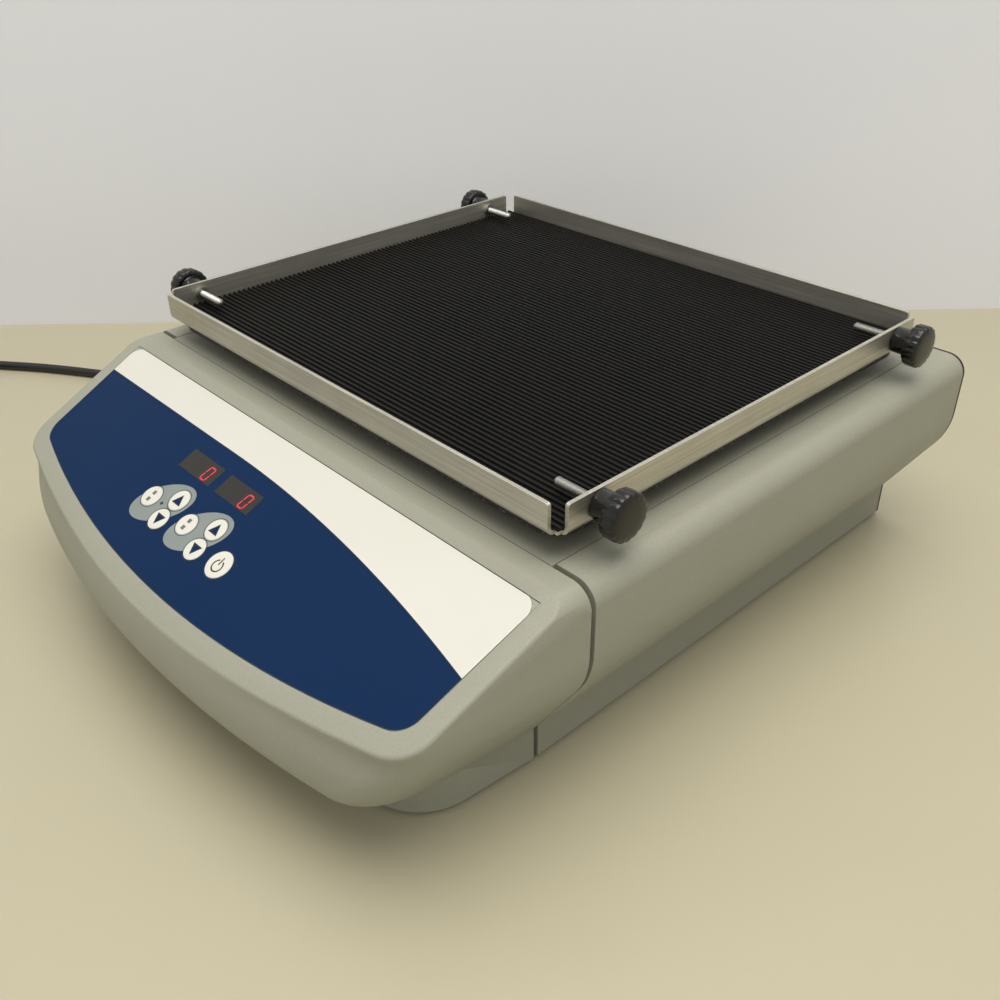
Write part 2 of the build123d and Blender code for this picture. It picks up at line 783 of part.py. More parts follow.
def flange_screws():
    """Socket screws of the bearing housings, motor, motor bracket, side panels and front housing."""
    screws = []
    for x, y in main_flange_holes() + idler_flange_holes():
        screws.append(socket_screw(x, y, base_top + housing_flange, housing_flange + base_sheet, frame_screw))
    for x, y in bracket_holes():
        screws.append(socket_screw(x, y, base_top + motor_plate, motor_plate + base_sheet, frame_screw))
    below = [(s * x, y) for x, y in side_screw_places() for s in (1, -1)]
    for x, y in below:
        screws.append(socket_screw(x, y, base_z, base_sheet + wall, frame_screw, up=False))
    for x, y in front_boss_places():
        screws.append(socket_screw(x, y, base_z, base_sheet + boss, port_hole - running_clear, up=False))
    top = motor_plate_z + motor_plate
    screws += [socket_screw(x, y, top, motor_plate + 5, frame_screw) for x, y in motor_holes()]
    return screws


# Bearings and cranks


def outer_ring(bearing, x, y, low):
    """Outer ring of a shielded ball bearing, with its two shields."""
    outer, inner, width = bearing
    hub = inner_ring_radius(bearing) + shield_gap
    track = outer - 0.28 * (outer - inner)
    shield = 0.8
    return turned([
        (hub, low), (outer - seat_clear, low), (outer - seat_clear, low + width), (hub, low + width),
        (hub, low + width - shield), (track, low + width - shield), (track, low + shield), (hub, low + shield),
    ], x, y)


def inner_ring_radius(bearing):
    """Outside of a bearing's inner ring."""
    outer, inner, _ = bearing
    return inner + 0.28 * (outer - inner)


def inner_ring(bearing, x, y, low):
    """Inner ring of a ball bearing."""
    _, inner, width = bearing
    ring = inner_ring_radius(bearing)
    return turned([
        (inner + seat_clear, low), (ring, low), (ring, low + width), (inner + seat_clear, low + width),
    ], x, y)


def bearing_housing(x, y, bearing, flange_radius, column_radius, top_z, ribs):
    """Cast column with a flange below and a ball bearing seat at each end."""
    outer, _, width = bearing
    through = outer - 3.0
    flange_z = base_top + housing_flange
    low = base_top + 3.0
    seat_low = low + width + seat_clear
    body = turned([
        (through, base_top), (flange_radius, base_top), (flange_radius, flange_z),
        (column_radius + 3, flange_z), (column_radius, flange_z + 8), (column_radius, top_z),
        (outer, top_z), (outer, top_z - width - seat_clear), (through, top_z - width - seat_clear),
        (through, seat_low), (outer, seat_low), (outer, low), (through, low),
    ], x, y)
    reach = flange_radius - flange_screw_inset
    for angle in quarter_turns(45):
        hole_x, hole_y = x + reach * math.cos(angle), y + reach * math.sin(angle)
        body -= rod(hole_x, hole_y, base_top - 1, flange_z + 1, frame_screw + screw_clear)
    gusset = Polyline((column_radius - 1, flange_z - 1), (flange_radius - 3, flange_z - 1),
                      (flange_radius - 3, flange_z), (column_radius - 1, top_z - 12), close=True)
    rib = extrude(Plane.XZ * make_face(gusset), 2.5, both=True)
    for k in range(ribs):
        body += Pos(x, y, 0) * Rot(0, 0, 90 * k) * rib
    return body


def main_bearing_levels():
    """Undersides of the main crank's two bearings."""
    return base_top + 3.0, main_column_top - large_bearing[2]


def idler_bearing_levels():
    """Undersides of an idler crank's two bearings."""
    return base_top + 3.0, idler_column_top - small_bearing[2]


def crank(x, y, journal, bottom_z, step_z):
    """Crankshaft: journal through its bearings, round web, and the eccentric pin above it."""
    web_bottom = web_top_z - web_thick
    shaft = rod(x, y, bottom_z, web_bottom, journal)
    if step_z:
        shaft += rod(x, y, step_z, web_bottom, journal + 2.5)
    shaft += rod(x, y, web_bottom, web_top_z, web_radius)
    pin_y = y - orbit_radius
    shaft += rod(x, pin_y, web_top_z, pin_bearing_z, pin_radius + 2)
    shaft += rod(x, pin_y, pin_bearing_z, pin_top_z, pin_radius)
    return chamfer(shaft.edges().sort_by(Axis.Z)[-1], 0.6)


def drive_pulley():
    """Large ribbed-belt pulley with a hub and a web lightened by six holes."""
    x, y = axes[0]
    bore = large_bearing[1] + 2.5 + seat_clear
    rim = pulley_profile(drive_pulley_radius)
    points = [(bore, pulley_bottom_z), (bore + 7, pulley_bottom_z), (bore + 7, pulley_bottom_z + 4),
              (drive_pulley_radius - 9, pulley_bottom_z + 4), (drive_pulley_radius - 9, pulley_bottom_z)]
    points += rim
    points += [(drive_pulley_radius - 9, pulley_top_z), (drive_pulley_radius - 9, pulley_top_z - 4),
               (bore + 7, pulley_top_z - 4), (bore + 7, pulley_top_z), (bore, pulley_top_z)]
    wheel = turned(points, x, y)
    for k in range(6):
        angle = math.radians(60 * k + 30)
        wheel -= rod(x + 33 * math.cos(angle), y + 33 * math.sin(angle), pulley_bottom_z, pulley_top_z, 8)
    return wheel


def groove_count():
    """Grooves across a pulley."""
    return int(belt_width / rib_pitch)


def pulley_profile(radius):
    """Rim of a ribbed-belt pulley from its lower to its upper flange."""
    edge = (pulley_width - belt_width) / 2
    flange = radius + 1.5
    points = [(flange, pulley_bottom_z), (flange, pulley_bottom_z + edge - 0.5), (radius, pulley_bottom_z + edge)]
    for k in range(groove_count()):
        low = pulley_bottom_z + edge + k * rib_pitch
        points.append((radius, low + 0.15 * rib_pitch))
        points.append((radius - rib_depth, low + 0.45 * rib_pitch))
        points.append((radius - rib_depth, low + 0.55 * rib_pitch))
        points.append((radius, low + 0.85 * rib_pitch))
    points += [(radius, pulley_top_z - edge), (flange, pulley_top_z - edge + 0.5), (flange, pulley_top_z)]
    return points


def belt_section():
    """Section of the belt: flat back, ribs towards the pulley; x is outwards from the pulley's rim."""
    low = pulley_bottom_z + (pulley_width - belt_width) / 2 + belt_clear
    high = pulley_top_z - (pulley_width - belt_width) / 2 - belt_clear
    base = belt_clear
    points = [(base + belt_thick, low), (base + belt_thick, high), (base, high)]
    for k in reversed(range(groove_count())):
        bottom = pulley_bottom_z + (pulley_width - belt_width) / 2 + k * rib_pitch
        points.append((base, min(high - 0.05, bottom + 0.85 * rib_pitch)))
        points.append((base - 0.5 * rib_depth, bottom + 0.6 * rib_pitch))
        points.append((base - 0.5 * rib_depth, bottom + 0.4 * rib_pitch))
        points.append((base, max(low + 0.05, bottom + 0.15 * rib_pitch)))
    points.append((base, low))
    return points


def drive_belt():
    """Ribbed belt round the motor's pulley and the large pulley."""
    x0, y0 = 0.0, motor_y
    x1, y1 = axes[0]
    span = y1 - y0
    lean = math.asin((drive_pulley_radius - motor_pulley_radius) / span)
    straight = span * math.cos(lean)
    section = belt_section()

    def ring(x, y, radius, start, sweep_deg):
        face = make_face(Plane.XZ * Polyline(*[(radius + u, z) for u, z in section], close=True))
        return Pos(x, y, 0) * Rot(0, 0, start) * revolve(face, Axis.Z, revolution_arc=sweep_deg)

    lean_deg = math.degrees(lean)
    belt = ring(x1, y1, drive_pulley_radius, -lean_deg, 180 + 2 * lean_deg)
    belt += ring(x0, y0, motor_pulley_radius, 180 + lean_deg, 180 - 2 * lean_deg)
    for sign in (1, -1):
        normal = Vector(sign * math.cos(lean), -math.sin(lean), 0)
        foot = Vector(x0, y0, 0) + normal * motor_pulley_radius
        along = Vector(sign * math.sin(lean), math.cos(lean), 0)
        plane = Plane(origin=foot, x_dir=normal, z_dir=normal.cross(Vector(0, 0, 1)))
        face = plane * make_face(Polyline(*section, close=True))
        length = straight if plane.z_dir.dot(along) > 0 else -straight
        belt += extrude(face, length)
    return belt


def counterweight():
    """Half-disc weight opposite the crank pin, with a hub round the shaft."""
    x, y = axes[0]
    bore = large_bearing[1] + 2.5 + seat_clear
    top = counterweight_z + counterweight_thick
    disc = rod(x, y, counterweight_z, top, counterweight_radius)
    disc &= block(x - 60, x + 60, y + 2, y + 60, counterweight_z, top)
    disc += rod(x, y, counterweight_z, top, bore + 6)
    return disc - rod(x, y, counterweight_z - 1, top + 1, bore)


def motor_bracket():
    """Bent steel bridge that holds the motor by its face."""
    half = bracket_half
    outer = half + motor_plate
    top = motor_plate_z + motor_plate
    section = Polyline(
        (outer + bracket_foot, base_top), (outer + bracket_foot, base_top + motor_plate),
        (outer, base_top + motor_plate), (outer, top), (-outer, top), (-outer, base_top + motor_plate),
        (-outer - bracket_foot, base_top + motor_plate), (-outer - bracket_foot, base_top),
        (-half, base_top), (-half, motor_plate_z), (half, motor_plate_z), (half, base_top), close=True)
    start = motor_y + bracket_depth / 2
    bridge = extrude(Plane.XZ.offset(-start) * make_face(section), bracket_depth)
    bends = bridge.edges().filter_by(Axis.Y).group_by(Axis.Z)[-1]
    bridge = fillet(bends, motor_plate)
    bridge -= rod(0, motor_y, motor_plate_z - 1, top + 1, motor_boss_radius + seat_clear)
    for x, y in motor_holes():
        bridge -= rod(x, y, motor_plate_z - 1, top + 1, frame_screw + screw_clear)
    for x, y in bracket_holes():
        bridge -= rod(x, y, base_top - 1, base_top + motor_plate + 1, frame_screw + screw_clear)
    return bridge


def motor_holes():
    """Screws that hold the motor's face to its bracket."""
    reach = motor_radius - 10
    return [(reach * math.cos(a), motor_y + reach * math.sin(a)) for a in quarter_turns(45)]


def motor():
    """Brushless motor: finned can, end plate and centring boss."""
    low = motor_plate_z - motor_height
    bore = motor_shaft_radius + running_clear
    points = [(0, low), (motor_radius - 3, low), (motor_radius, low + 3)]
    rings = 4
    for k in range(rings):
        z = low + 9 + 8 * k
        points += [(motor_radius, z), (motor_radius - 1.5, z), (motor_radius - 1.5, z + 3), (motor_radius, z + 3)]
    points += [(motor_radius, motor_plate_z), (motor_boss_radius, motor_plate_z),
               (motor_boss_radius, motor_plate_z + motor_plate - 1), (bore, motor_plate_z + motor_plate - 1),
               (bore, low + 8), (0, low + 8)]
    can = turned(points, 0, motor_y)
    for x, y in motor_holes():
        can -= rod(x, y, motor_plate_z - 6, motor_plate_z + 1, frame_screw + running_clear)
    return can


def motor_shaft():
    """The rotor's steel shaft."""
    low = motor_plate_z - motor_height + 8.3
    shaft = rod(0, motor_y, low, pulley_top_z + 2, motor_shaft_radius)
    return chamfer(shaft.edges().sort_by(Axis.Z)[-1], 0.5)


def motor_pulley():
    """Small ribbed-belt pulley on the motor's shaft."""
    bore = motor_shaft_radius + seat_clear
    points = [(bore, pulley_bottom_z)] + pulley_profile(motor_pulley_radius) + [(bore, pulley_top_z)]
    return turned(points, 0, motor_y)


# Platform


def carrier():
    """Sub-platform under the tray, with a bearing boss at each crank and ribs between them."""
    wide = tray_width - 2 * carrier_inset
    deep = tray_depth - 2 * carrier_inset
    plate = extrude(RectangleRounded(wide, deep, carrier_corner), carrier_thick)
    body = Pos(0, tray_centre_y, carrier_bottom_z) * plate
    for k in range(3):
        x0, y0 = pins[k]
        x1, y1 = pins[(k + 1) % 3]
        length = math.hypot(x1 - x0, y1 - y0)
        turn = math.degrees(math.atan2(y1 - y0, x1 - x0))
        rib = Box(length, carrier_rib, carrier_rib_drop + 1)
        body += Pos((x0 + x1) / 2, (y0 + y1) / 2, carrier_bottom_z + (1 - carrier_rib_drop) / 2) * Rot(0, 0, turn) * rib
    seat = pin_bearing_z + small_bearing[2] + seat_clear
    for x, y in pins:
        body += rod(x, y, boss_bottom_z, carrier_bottom_z + 1, boss_radius)
    for x, y in pins:
        body -= rod(x, y, boss_bottom_z - 1, seat, small_bearing[0])
        body -= rod(x, y, seat - 1, seat + 1.5, small_bearing[0] - 3)
    for x, y in tray_screw_places():
        body -= rod(x, y, carrier_bottom_z - 1, tray_bottom_z + 1, tray_screw + running_clear)
    return body


def tray_screw_places():
    """Countersunk screws between tray and sub-platform."""
    return [(sx * 120, tray_centre_y + sy * 100) for sx in (-1, 1) for sy in (-1, 1)]


def countersunk(x, y, grow, reach):
    """A countersunk screw flush with the tray's floor, or its hole when grown."""
    top = tray_bottom_z + tray_sheet
    return turned([
        (0, top - reach), (tray_screw + grow, top - reach), (tray_screw + grow, tray_bottom_z + 0.2),
        (2 * tray_screw - 0.4 + grow, top), (0, top),
    ], x, y)


def flange_section(reach):
    """Section of one tray flange and its strip of floor; reach is from the centre to the outer face."""
    bend = bend_radius + tray_sheet
    low, top = tray_bottom_z, tray_top_z
    start = reach - 4 * bend
    turn = math.sqrt(0.5)
    centre = (reach - bend, low + bend)
    return make_face([
        Line((start, low), (reach - bend, low)),
        ThreePointArc((reach - bend, low), (centre[0] + bend * turn, centre[1] - bend * turn), (reach, low + bend)),
        Line((reach, low + bend), (reach, top)),
        Line((reach, top), (reach - tray_sheet, top)),
        Line((reach - tray_sheet, top), (reach - tray_sheet, low + bend)),
        ThreePointArc((reach - tray_sheet, low + bend),
                      (centre[0] + bend_radius * turn, centre[1] - bend_radius * turn),
                      (reach - bend, low + tray_sheet)),
        Line((reach - bend, low + tray_sheet), (start, low + tray_sheet)),
        Line((start, low + tray_sheet), (start, low)),
    ])


def tray():
    """Folded aluminium tray: floor and four upright flanges with open corners."""
    bend = bend_radius + tray_sheet
    half_x, half_y = tray_width / 2, tray_depth / 2
    floor = block(-half_x + bend, half_x - bend, tray_centre_y - half_y + bend, tray_centre_y + half_y - bend,
                  tray_bottom_z, tray_bottom_z + tray_sheet)
    shape = floor
    for quarter in range(4):
        reach = half_x if quarter % 2 == 0 else half_y
        side = half_y if quarter % 2 == 0 else half_x
        length = 2 * (side - corner_gap)
        bar = extrude(Plane.XZ.offset(-length / 2) * flange_section(reach), length)
        corners = []
        for edge in bar.edges().filter_by(Axis.X):
            middle = edge @ 0.5
            if abs(middle.Z - tray_top_z) < 0.01:
                corners.append(edge)
        bar = fillet(corners, flange_corner)
        shape += Pos(0, tray_centre_y, 0) * Rot(0, 0, 90 * quarter) * bar
    for sign in (-1, 1):
        for y in clamp_ys():
            shape -= rod_x(y, clamp_z, sign * (half_x - 3 * tray_sheet), sign * (half_x + 1), nut_neck + seat_clear)
    for x, y in tray_screw_places():
        shape -= countersunk(x, y, running_clear, 3 * tray_sheet)
    return shape


def clamp_ys():
    """Places of the clamp screws along the side flanges."""
    return [tray_centre_y - clamp_pitch / 2, tray_centre_y + clamp_pitch / 2]


def rubber_mat():
    """Ribbed rubber mat on the tray's floor; the ribs run from side to side."""
    half_x = tray_width / 2 - tray_sheet - mat_clear
    half_y = tray_depth / 2 - tray_sheet - mat_clear
    inset = mat_edge
    base = mat_top_z - mat_rib
    ribs = int(2 * half_y / mat_pitch)
    start = -ribs * mat_pitch / 2
    points = [(-half_y, mat_z + inset), (-half_y + inset, mat_z), (half_y - inset, mat_z), (half_y, mat_z + inset),
              (half_y, base)]
    for k in reversed(range(ribs)):
        low = start + k * mat_pitch
        points += [(low + 0.78 * mat_pitch, base), (low + 0.66 * mat_pitch, mat_top_z),
                   (low + 0.34 * mat_pitch, mat_top_z), (low + 0.22 * mat_pitch, base)]
    points.append((-half_y, base))
    face = Plane.YZ.offset(-half_x) * make_face(Polyline(*points, close=True))
    mat = Pos(0, tray_centre_y, 0) * extrude(face, 2 * half_x)
    for sign in (-1, 1):
        edge = block(sign * (half_x - inset), sign * (half_x + 1), tray_centre_y - half_y - 1,
                     tray_centre_y + half_y + 1, mat_z - 1, mat_z + inset)
        mat -= edge
    return mat


def clinch_nut(sign, y):
    """Nut pressed into a side flange from inside the tray."""
    inner = sign * (tray_width / 2 - tray_sheet)
    nut = rod_x(y, clamp_z, inner - sign * nut_proud, inner, nut_radius)
    nut += rod_x(y, clamp_z, inner, sign * tray_width / 2, nut_neck)
    return nut - rod_x(y, clamp_z, inner - sign * 5, sign * (tray_width / 2 + 1), stud_radius + running_clear)


def hub_face_x():
    """Where a knob's hub begins, just off the flange."""
    return tray_width / 2 + knob_gap


def clamp_stud(sign, y):
    """Threaded stud of a clamp screw."""
    tip = sign * stud_tip_x
    end = sign * (hub_face_x() + stud_in_knob)
    stud = rod_x(y, clamp_z, tip, end, stud_radius)
    point = stud.edges().sort_by(Axis.X)[0 if sign > 0 else -1]
    return chamfer(point, 0.5)


def clamp_knob(sign, y):
    """Fluted knob with a hub, moulded round its stud."""
    top = hub_length + knob_thick
    points = [(0, 0), (hub_radius - 0.5, 0), (hub_radius, hub_length), (knob_radius - 1.5, hub_length),
              (knob_radius, hub_length + 1.5), (knob_radius, top - 2.0), (knob_radius - 1.6, top - 0.6),
              (knob_radius - 4, top), (0, top)]
    knob = turned(points, 0, 0)
    cutter = extrude(Circle(flute_radius), top)
    for k in range(flutes):
        angle = math.radians(360 / flutes * k)
        reach = knob_radius + 0.45 * flute_radius
        knob -= Pos(reach * math.cos(angle), reach * math.sin(angle), hub_length - 1) * cutter
    knob -= rod(0, 0, -1, stud_in_knob + 0.1, stud_radius + running_clear)
    knob = Pos(hub_face_x(), y, clamp_z) * Rot(0, 90, 0) * knob
    return knob if sign > 0 else mirror(knob, Plane.YZ)


# Control panel


def keys():
    """Places and radii of the seven keys: name, across, down the slope, radius."""
    places = []
    for k, group_name in enumerate(("speed", "time")):
        for key_name, (x, drop) in (("mode", mode_key), ("up", up_key), ("down", down_key)):
            places.append((f"{group_name}_{key_name}_key", x + k * pad_pitch, drop, key_radius))
    places.append(("standby_key", *power_key, power_key_radius))
    return places


def control_overlay():
    """Printed overlay on the slope, open at the display windows and keys."""
    low = overlay_proud - overlay_thick
    sheet = on_panel(0, 0, low, overlay_proud, overlay_face(0))
    for x in window_x:
        sheet -= on_panel(x, window_drop, low - 1, 1, Rectangle(*window_size))
    for _, x, drop, radius in keys():
        sheet -= on_panel(x, drop, low - 1, 1, Circle(radius + key_clear))
    return sheet


def display_window(x):
    """Tinted window over one display."""
    wide, high = window_size
    return on_panel(x, window_drop, overlay_proud - overlay_thick, overlay_proud,
                    Rectangle(wide - 2 * running_clear, high - 2 * running_clear))


def key(x, drop, radius):
    """One raised key of the overlay, slightly domed."""
    low = key_proud - key_thick
    disc = on_panel(x, drop, low, key_proud, Circle(radius))
    top = disc.faces().sort_by(Axis((0, 0, 0), panel_plane.z_dir))[-1]
    return chamfer(top.edges(), 0.25)


def display_board():
    """Circuit board behind the control panel, with a push switch under each key."""
    x, drop = pad_window_centre
    wide = pad_window[0] + 2 * board_margin
    high = pad_window[1] + 2 * board_margin
    board = on_panel(x, drop, -board_front - board_thick, -board_front, Rectangle(wide, high))
    for bx, by in board_corners():
        board -= on_panel(bx, by, -board_front - 3, 0, Circle(tapping_radius + screw_clear))
    stem_top = key_proud - key_thick - key_travel - 0.2
    for _, kx, kd, _ in keys():
        board += on_panel(kx, kd, -board_front, stem_top - 1.5, Rectangle(switch_size, switch_size))
        board += on_panel(kx, kd, stem_top - 1.6, stem_top, Circle(1.7))
    return board


def digit_module_at(x):
    """Block of seven-segment digits on the display board."""
    wide, high = digit_module
    top = overlay_proud - overlay_thick - running_clear
    return on_panel(x, window_drop, -board_front, top, Rectangle(wide, high))


# Electronics and power


def standoff(x, y):
    """Hexagonal stand-off: a threaded end through the base plate, drilled for a screw above."""
    post = Pos(x, y, base_top) * extrude(RegularPolygon(4.5, 6), standoff_height)
    post += rod(x, y, base_z - 1, base_top, frame_screw)
    return post - rod(x, y, base_top + 1, base_top + standoff_height + 1, frame_screw + running_clear)


def control_board():
    """Motor control board with its heat sink, capacitor and connectors."""
    x, y, wide, deep = control_board_at
    low = base_top + standoff_height
    top = low + board_thick
    board = block(x - wide / 2, x + wide / 2, y - deep / 2, y + deep / 2, low, top)
    for hx, hy in board_holes(control_board_at):
        board -= rod(hx, hy, low - 1, top + 1, frame_screw + screw_clear)
    sink_x = x + wide / 2 - 16
    board += block(sink_x - 8, sink_x + 8, y - 30, y + 20, top, top + 4)
    for k in range(5):
        fin_x = sink_x - 7 + 3.5 * k
        board += block(fin_x - 0.6, fin_x + 0.6, y - 30, y + 20, top + 4, top + 22)
    for k in range(2):
        board += rod(x - 14, y + 28 - 20 * k, top, top + 20, 8)
    for k in range(3):
        plug_x = x + 16 * (k - 1)
        board += block(plug_x - 6, plug_x + 6, y - deep / 2 + 6, y - deep / 2 + 13, top, top + 10)
    return board


def power_supply():
    """Enclosed power supply: a vented case on a plate with mounting tabs."""
    x, y, wide, deep = supply_at
    low = base_top + standoff_height
    plate = block(x - wide / 2, x + wide / 2, y - deep / 2, y + deep / 2, low, low + board_thick)
    half = deep / 2 - supply_tab
    case = block(x - wide / 2, x + wide / 2, y - half, y + half, low, low + supply_height)
    case = fillet(case.edges().group_by(Axis.Z)[-1], 1.5)
    slots = 7
    for k in range(slots):
        slot_y = y + (k - (slots - 1) / 2) * 9
        case -= Pos(x, slot_y, low + supply_height - 2) * extrude(SlotOverall(wide - 24, 3.5), 4)
    plate += case
    for hx, hy in board_holes(supply_at):
        plate -= rod(hx, hy, low - 1, low + board_thick + 1, frame_screw + screw_clear)
    return plate


def hex_pillars():
    """Stand-offs of both boards and the pillars under the deck."""
    pillars = [standoff(x, y) for x, y in board_holes(control_board_at) + board_holes(supply_at)]
    return pillars + [deck_post(x, y) for x, y in deck_posts_at]


def facing_back(x, z, y, face, length):
    """A piece run towards the back from the plane at y."""
    return extrude(Plane(origin=(x, y, z), x_dir=(1, 0, 0), z_dir=(0, 1, 0)) * face, length)


def socket_outline(grow):
    """Outline of the inlet's socket, with two cut corners."""
    wide, high = inlet_socket
    outline = Rectangle(wide + 2 * grow, high + 2 * grow)
    return chamfer(outline.vertices().sort_by(Axis.Y)[:2], 4.5)


def power_inlet():
    """Mains inlet with three pins, and an opening for the fuse drawer."""
    x, z = inlet_x, inlet_z
    plate = facing_back(x, z, rear_face_y, RectangleRounded(*inlet_plate, 4), inlet_proud)
    back = rear_inner_y - inlet_back
    body = facing_back(x, z, back, Rectangle(*inlet_body), rear_face_y - back)
    inlet = plate + body
    socket_z = z + inlet_socket_up
    inlet -= facing_back(x, socket_z, inlet_face_y - inlet_depth, socket_outline(0), inlet_depth + 1)
    inlet -= facing_back(x, z - drawer_down, inlet_face_y - inlet_depth, Rectangle(*drawer_size), inlet_depth + 1)
    for dx, dz in inlet_pins:
        inlet += facing_back(x + dx, socket_z + dz, inlet_face_y - inlet_depth - 1, Rectangle(*pin_blade),
                             inlet_depth - 2)
    for sign in (-1, 1):
        inlet -= inlet_screw(x + sign * inlet_screw_pitch / 2, screw_clear, inlet_proud + 1)
    return inlet


def fuse_drawer():
    """Fuse drawer below the inlet's socket."""
    wide, high = drawer_size
    z = inlet_z - drawer_down
    face = Rectangle(wide - 2 * screw_clear, high - 2 * screw_clear)
    length = inlet_depth - 1
    drawer = facing_back(inlet_x, z, inlet_face_y - length, face, length)
    return drawer - facing_back(inlet_x, z + 1.5, inlet_face_y - 1.2, Rectangle(8, 2), 2)


def cord_connector():
    """Moulded connector in the inlet, ending in a tapered strain relief."""
    x, z = inlet_x, inlet_z + inlet_socket_up
    start = inlet_face_y - inlet_depth + 1.5
    nose = facing_back(x, z, start, socket_outline(-plug_clear), inlet_depth - 1.5 + plug_clear)
    for dx, dz in inlet_pins:
        wide, high = pin_blade
        hole = Rectangle(wide + 2 * plug_clear, high + 2 * plug_clear)
        nose -= facing_back(x + dx, z + dz, start - 1, hole, inlet_depth - 3)
    grip_y = inlet_face_y + plug_clear
    grip = facing_back(x, z, grip_y, RectangleRounded(*grip_size, 4), grip_length)
    end = grip_y + grip_length
    relief = turned([(0, 0), (relief_radius, 0), (cord_radius + 0.5, relief_length), (0, relief_length)], 0, 0)
    relief = Pos(x, end, z) * Rot(-90, 0, 0) * relief
    return nose + grip + relief


def mains_plug():
    """Three-pin mains plug lying on the bench beside the coil."""
    x, y, z = mains_plug_at
    half = plug_wide / 2

    def along(x0, length, face):
        return extrude(Plane(origin=(x0, y, z), x_dir=(0, 1, 0), z_dir=(1, 0, 0)) * face, length)

    body = loft([
        Plane(origin=(x + relief_length, y, z), x_dir=(0, 1, 0), z_dir=(1, 0, 0)) * Circle(relief_radius + 2),
        Plane(origin=(x + relief_length + 10, y, z), x_dir=(0, 1, 0), z_dir=(1, 0, 0)) * Circle(half - 1.5),
    ])
    body += along(x + relief_length + 10, plug_length - 14, Circle(half - 1.5))
    body += along(x + relief_length + plug_length - 4, 4, Circle(half))
    relief = turned([(0, 0), (cord_radius + 0.5, 0), (relief_radius, relief_length), (0, relief_length)], 0, 0)
    body += Pos(x, y, z) * Rot(0, 90, 0) * relief
    face_x = x + relief_length + plug_length
    for side in (-1, 1):
        body += Pos(face_x + 8.5, y + side * 6.35, z + 3) * Box(17, 1.6, 6.3)
    return body + rod_x(y, z - 5.5, face_x, face_x + 19, 2.4)


def cord_tube(route):
    """Plain tube along a route, with the largest arcs that its runs allow."""
    points = [Vector(*p) for p in route]
    radii = []
    for a, b, c in zip(points, points[1:], points[2:]):
        turn = (b - a).get_angle(c - b)
        shorter = min((b - a).length, (c - b).length)
        radii.append(0.45 * shorter / math.tan(math.radians(turn / 2)))
    print("cord radii", [round(r) for r in radii])
    path = FilletPolyline(*points, radius=radii)
    plane = Plane(origin=points[0], z_dir=points[1] - points[0])
    tube = sweep(plane * Circle(cord_radius), path=path)
    print("cord length", round(path.length), "volume share",
          round(tube.volume / (path.length * math.pi * cord_radius ** 2), 4))
    return tube


def cord_coil():
    """Outer form of the coiled part of the cord."""
    half = coil_wide * cord_radius
    layer = 2 * cord_radius
    height = layer + (coil_high - 1) * layer * math.sqrt(0.75)
    x, y = coil_at
    section = [(coil_radius - half, 0), (coil_radius + half, 0), (coil_radius + half, layer),
               (coil_radius + half - cord_radius, height), (coil_radius - half + cord_radius, height),
               (coil_radius - half, layer)]
    return turned(section, x, y)


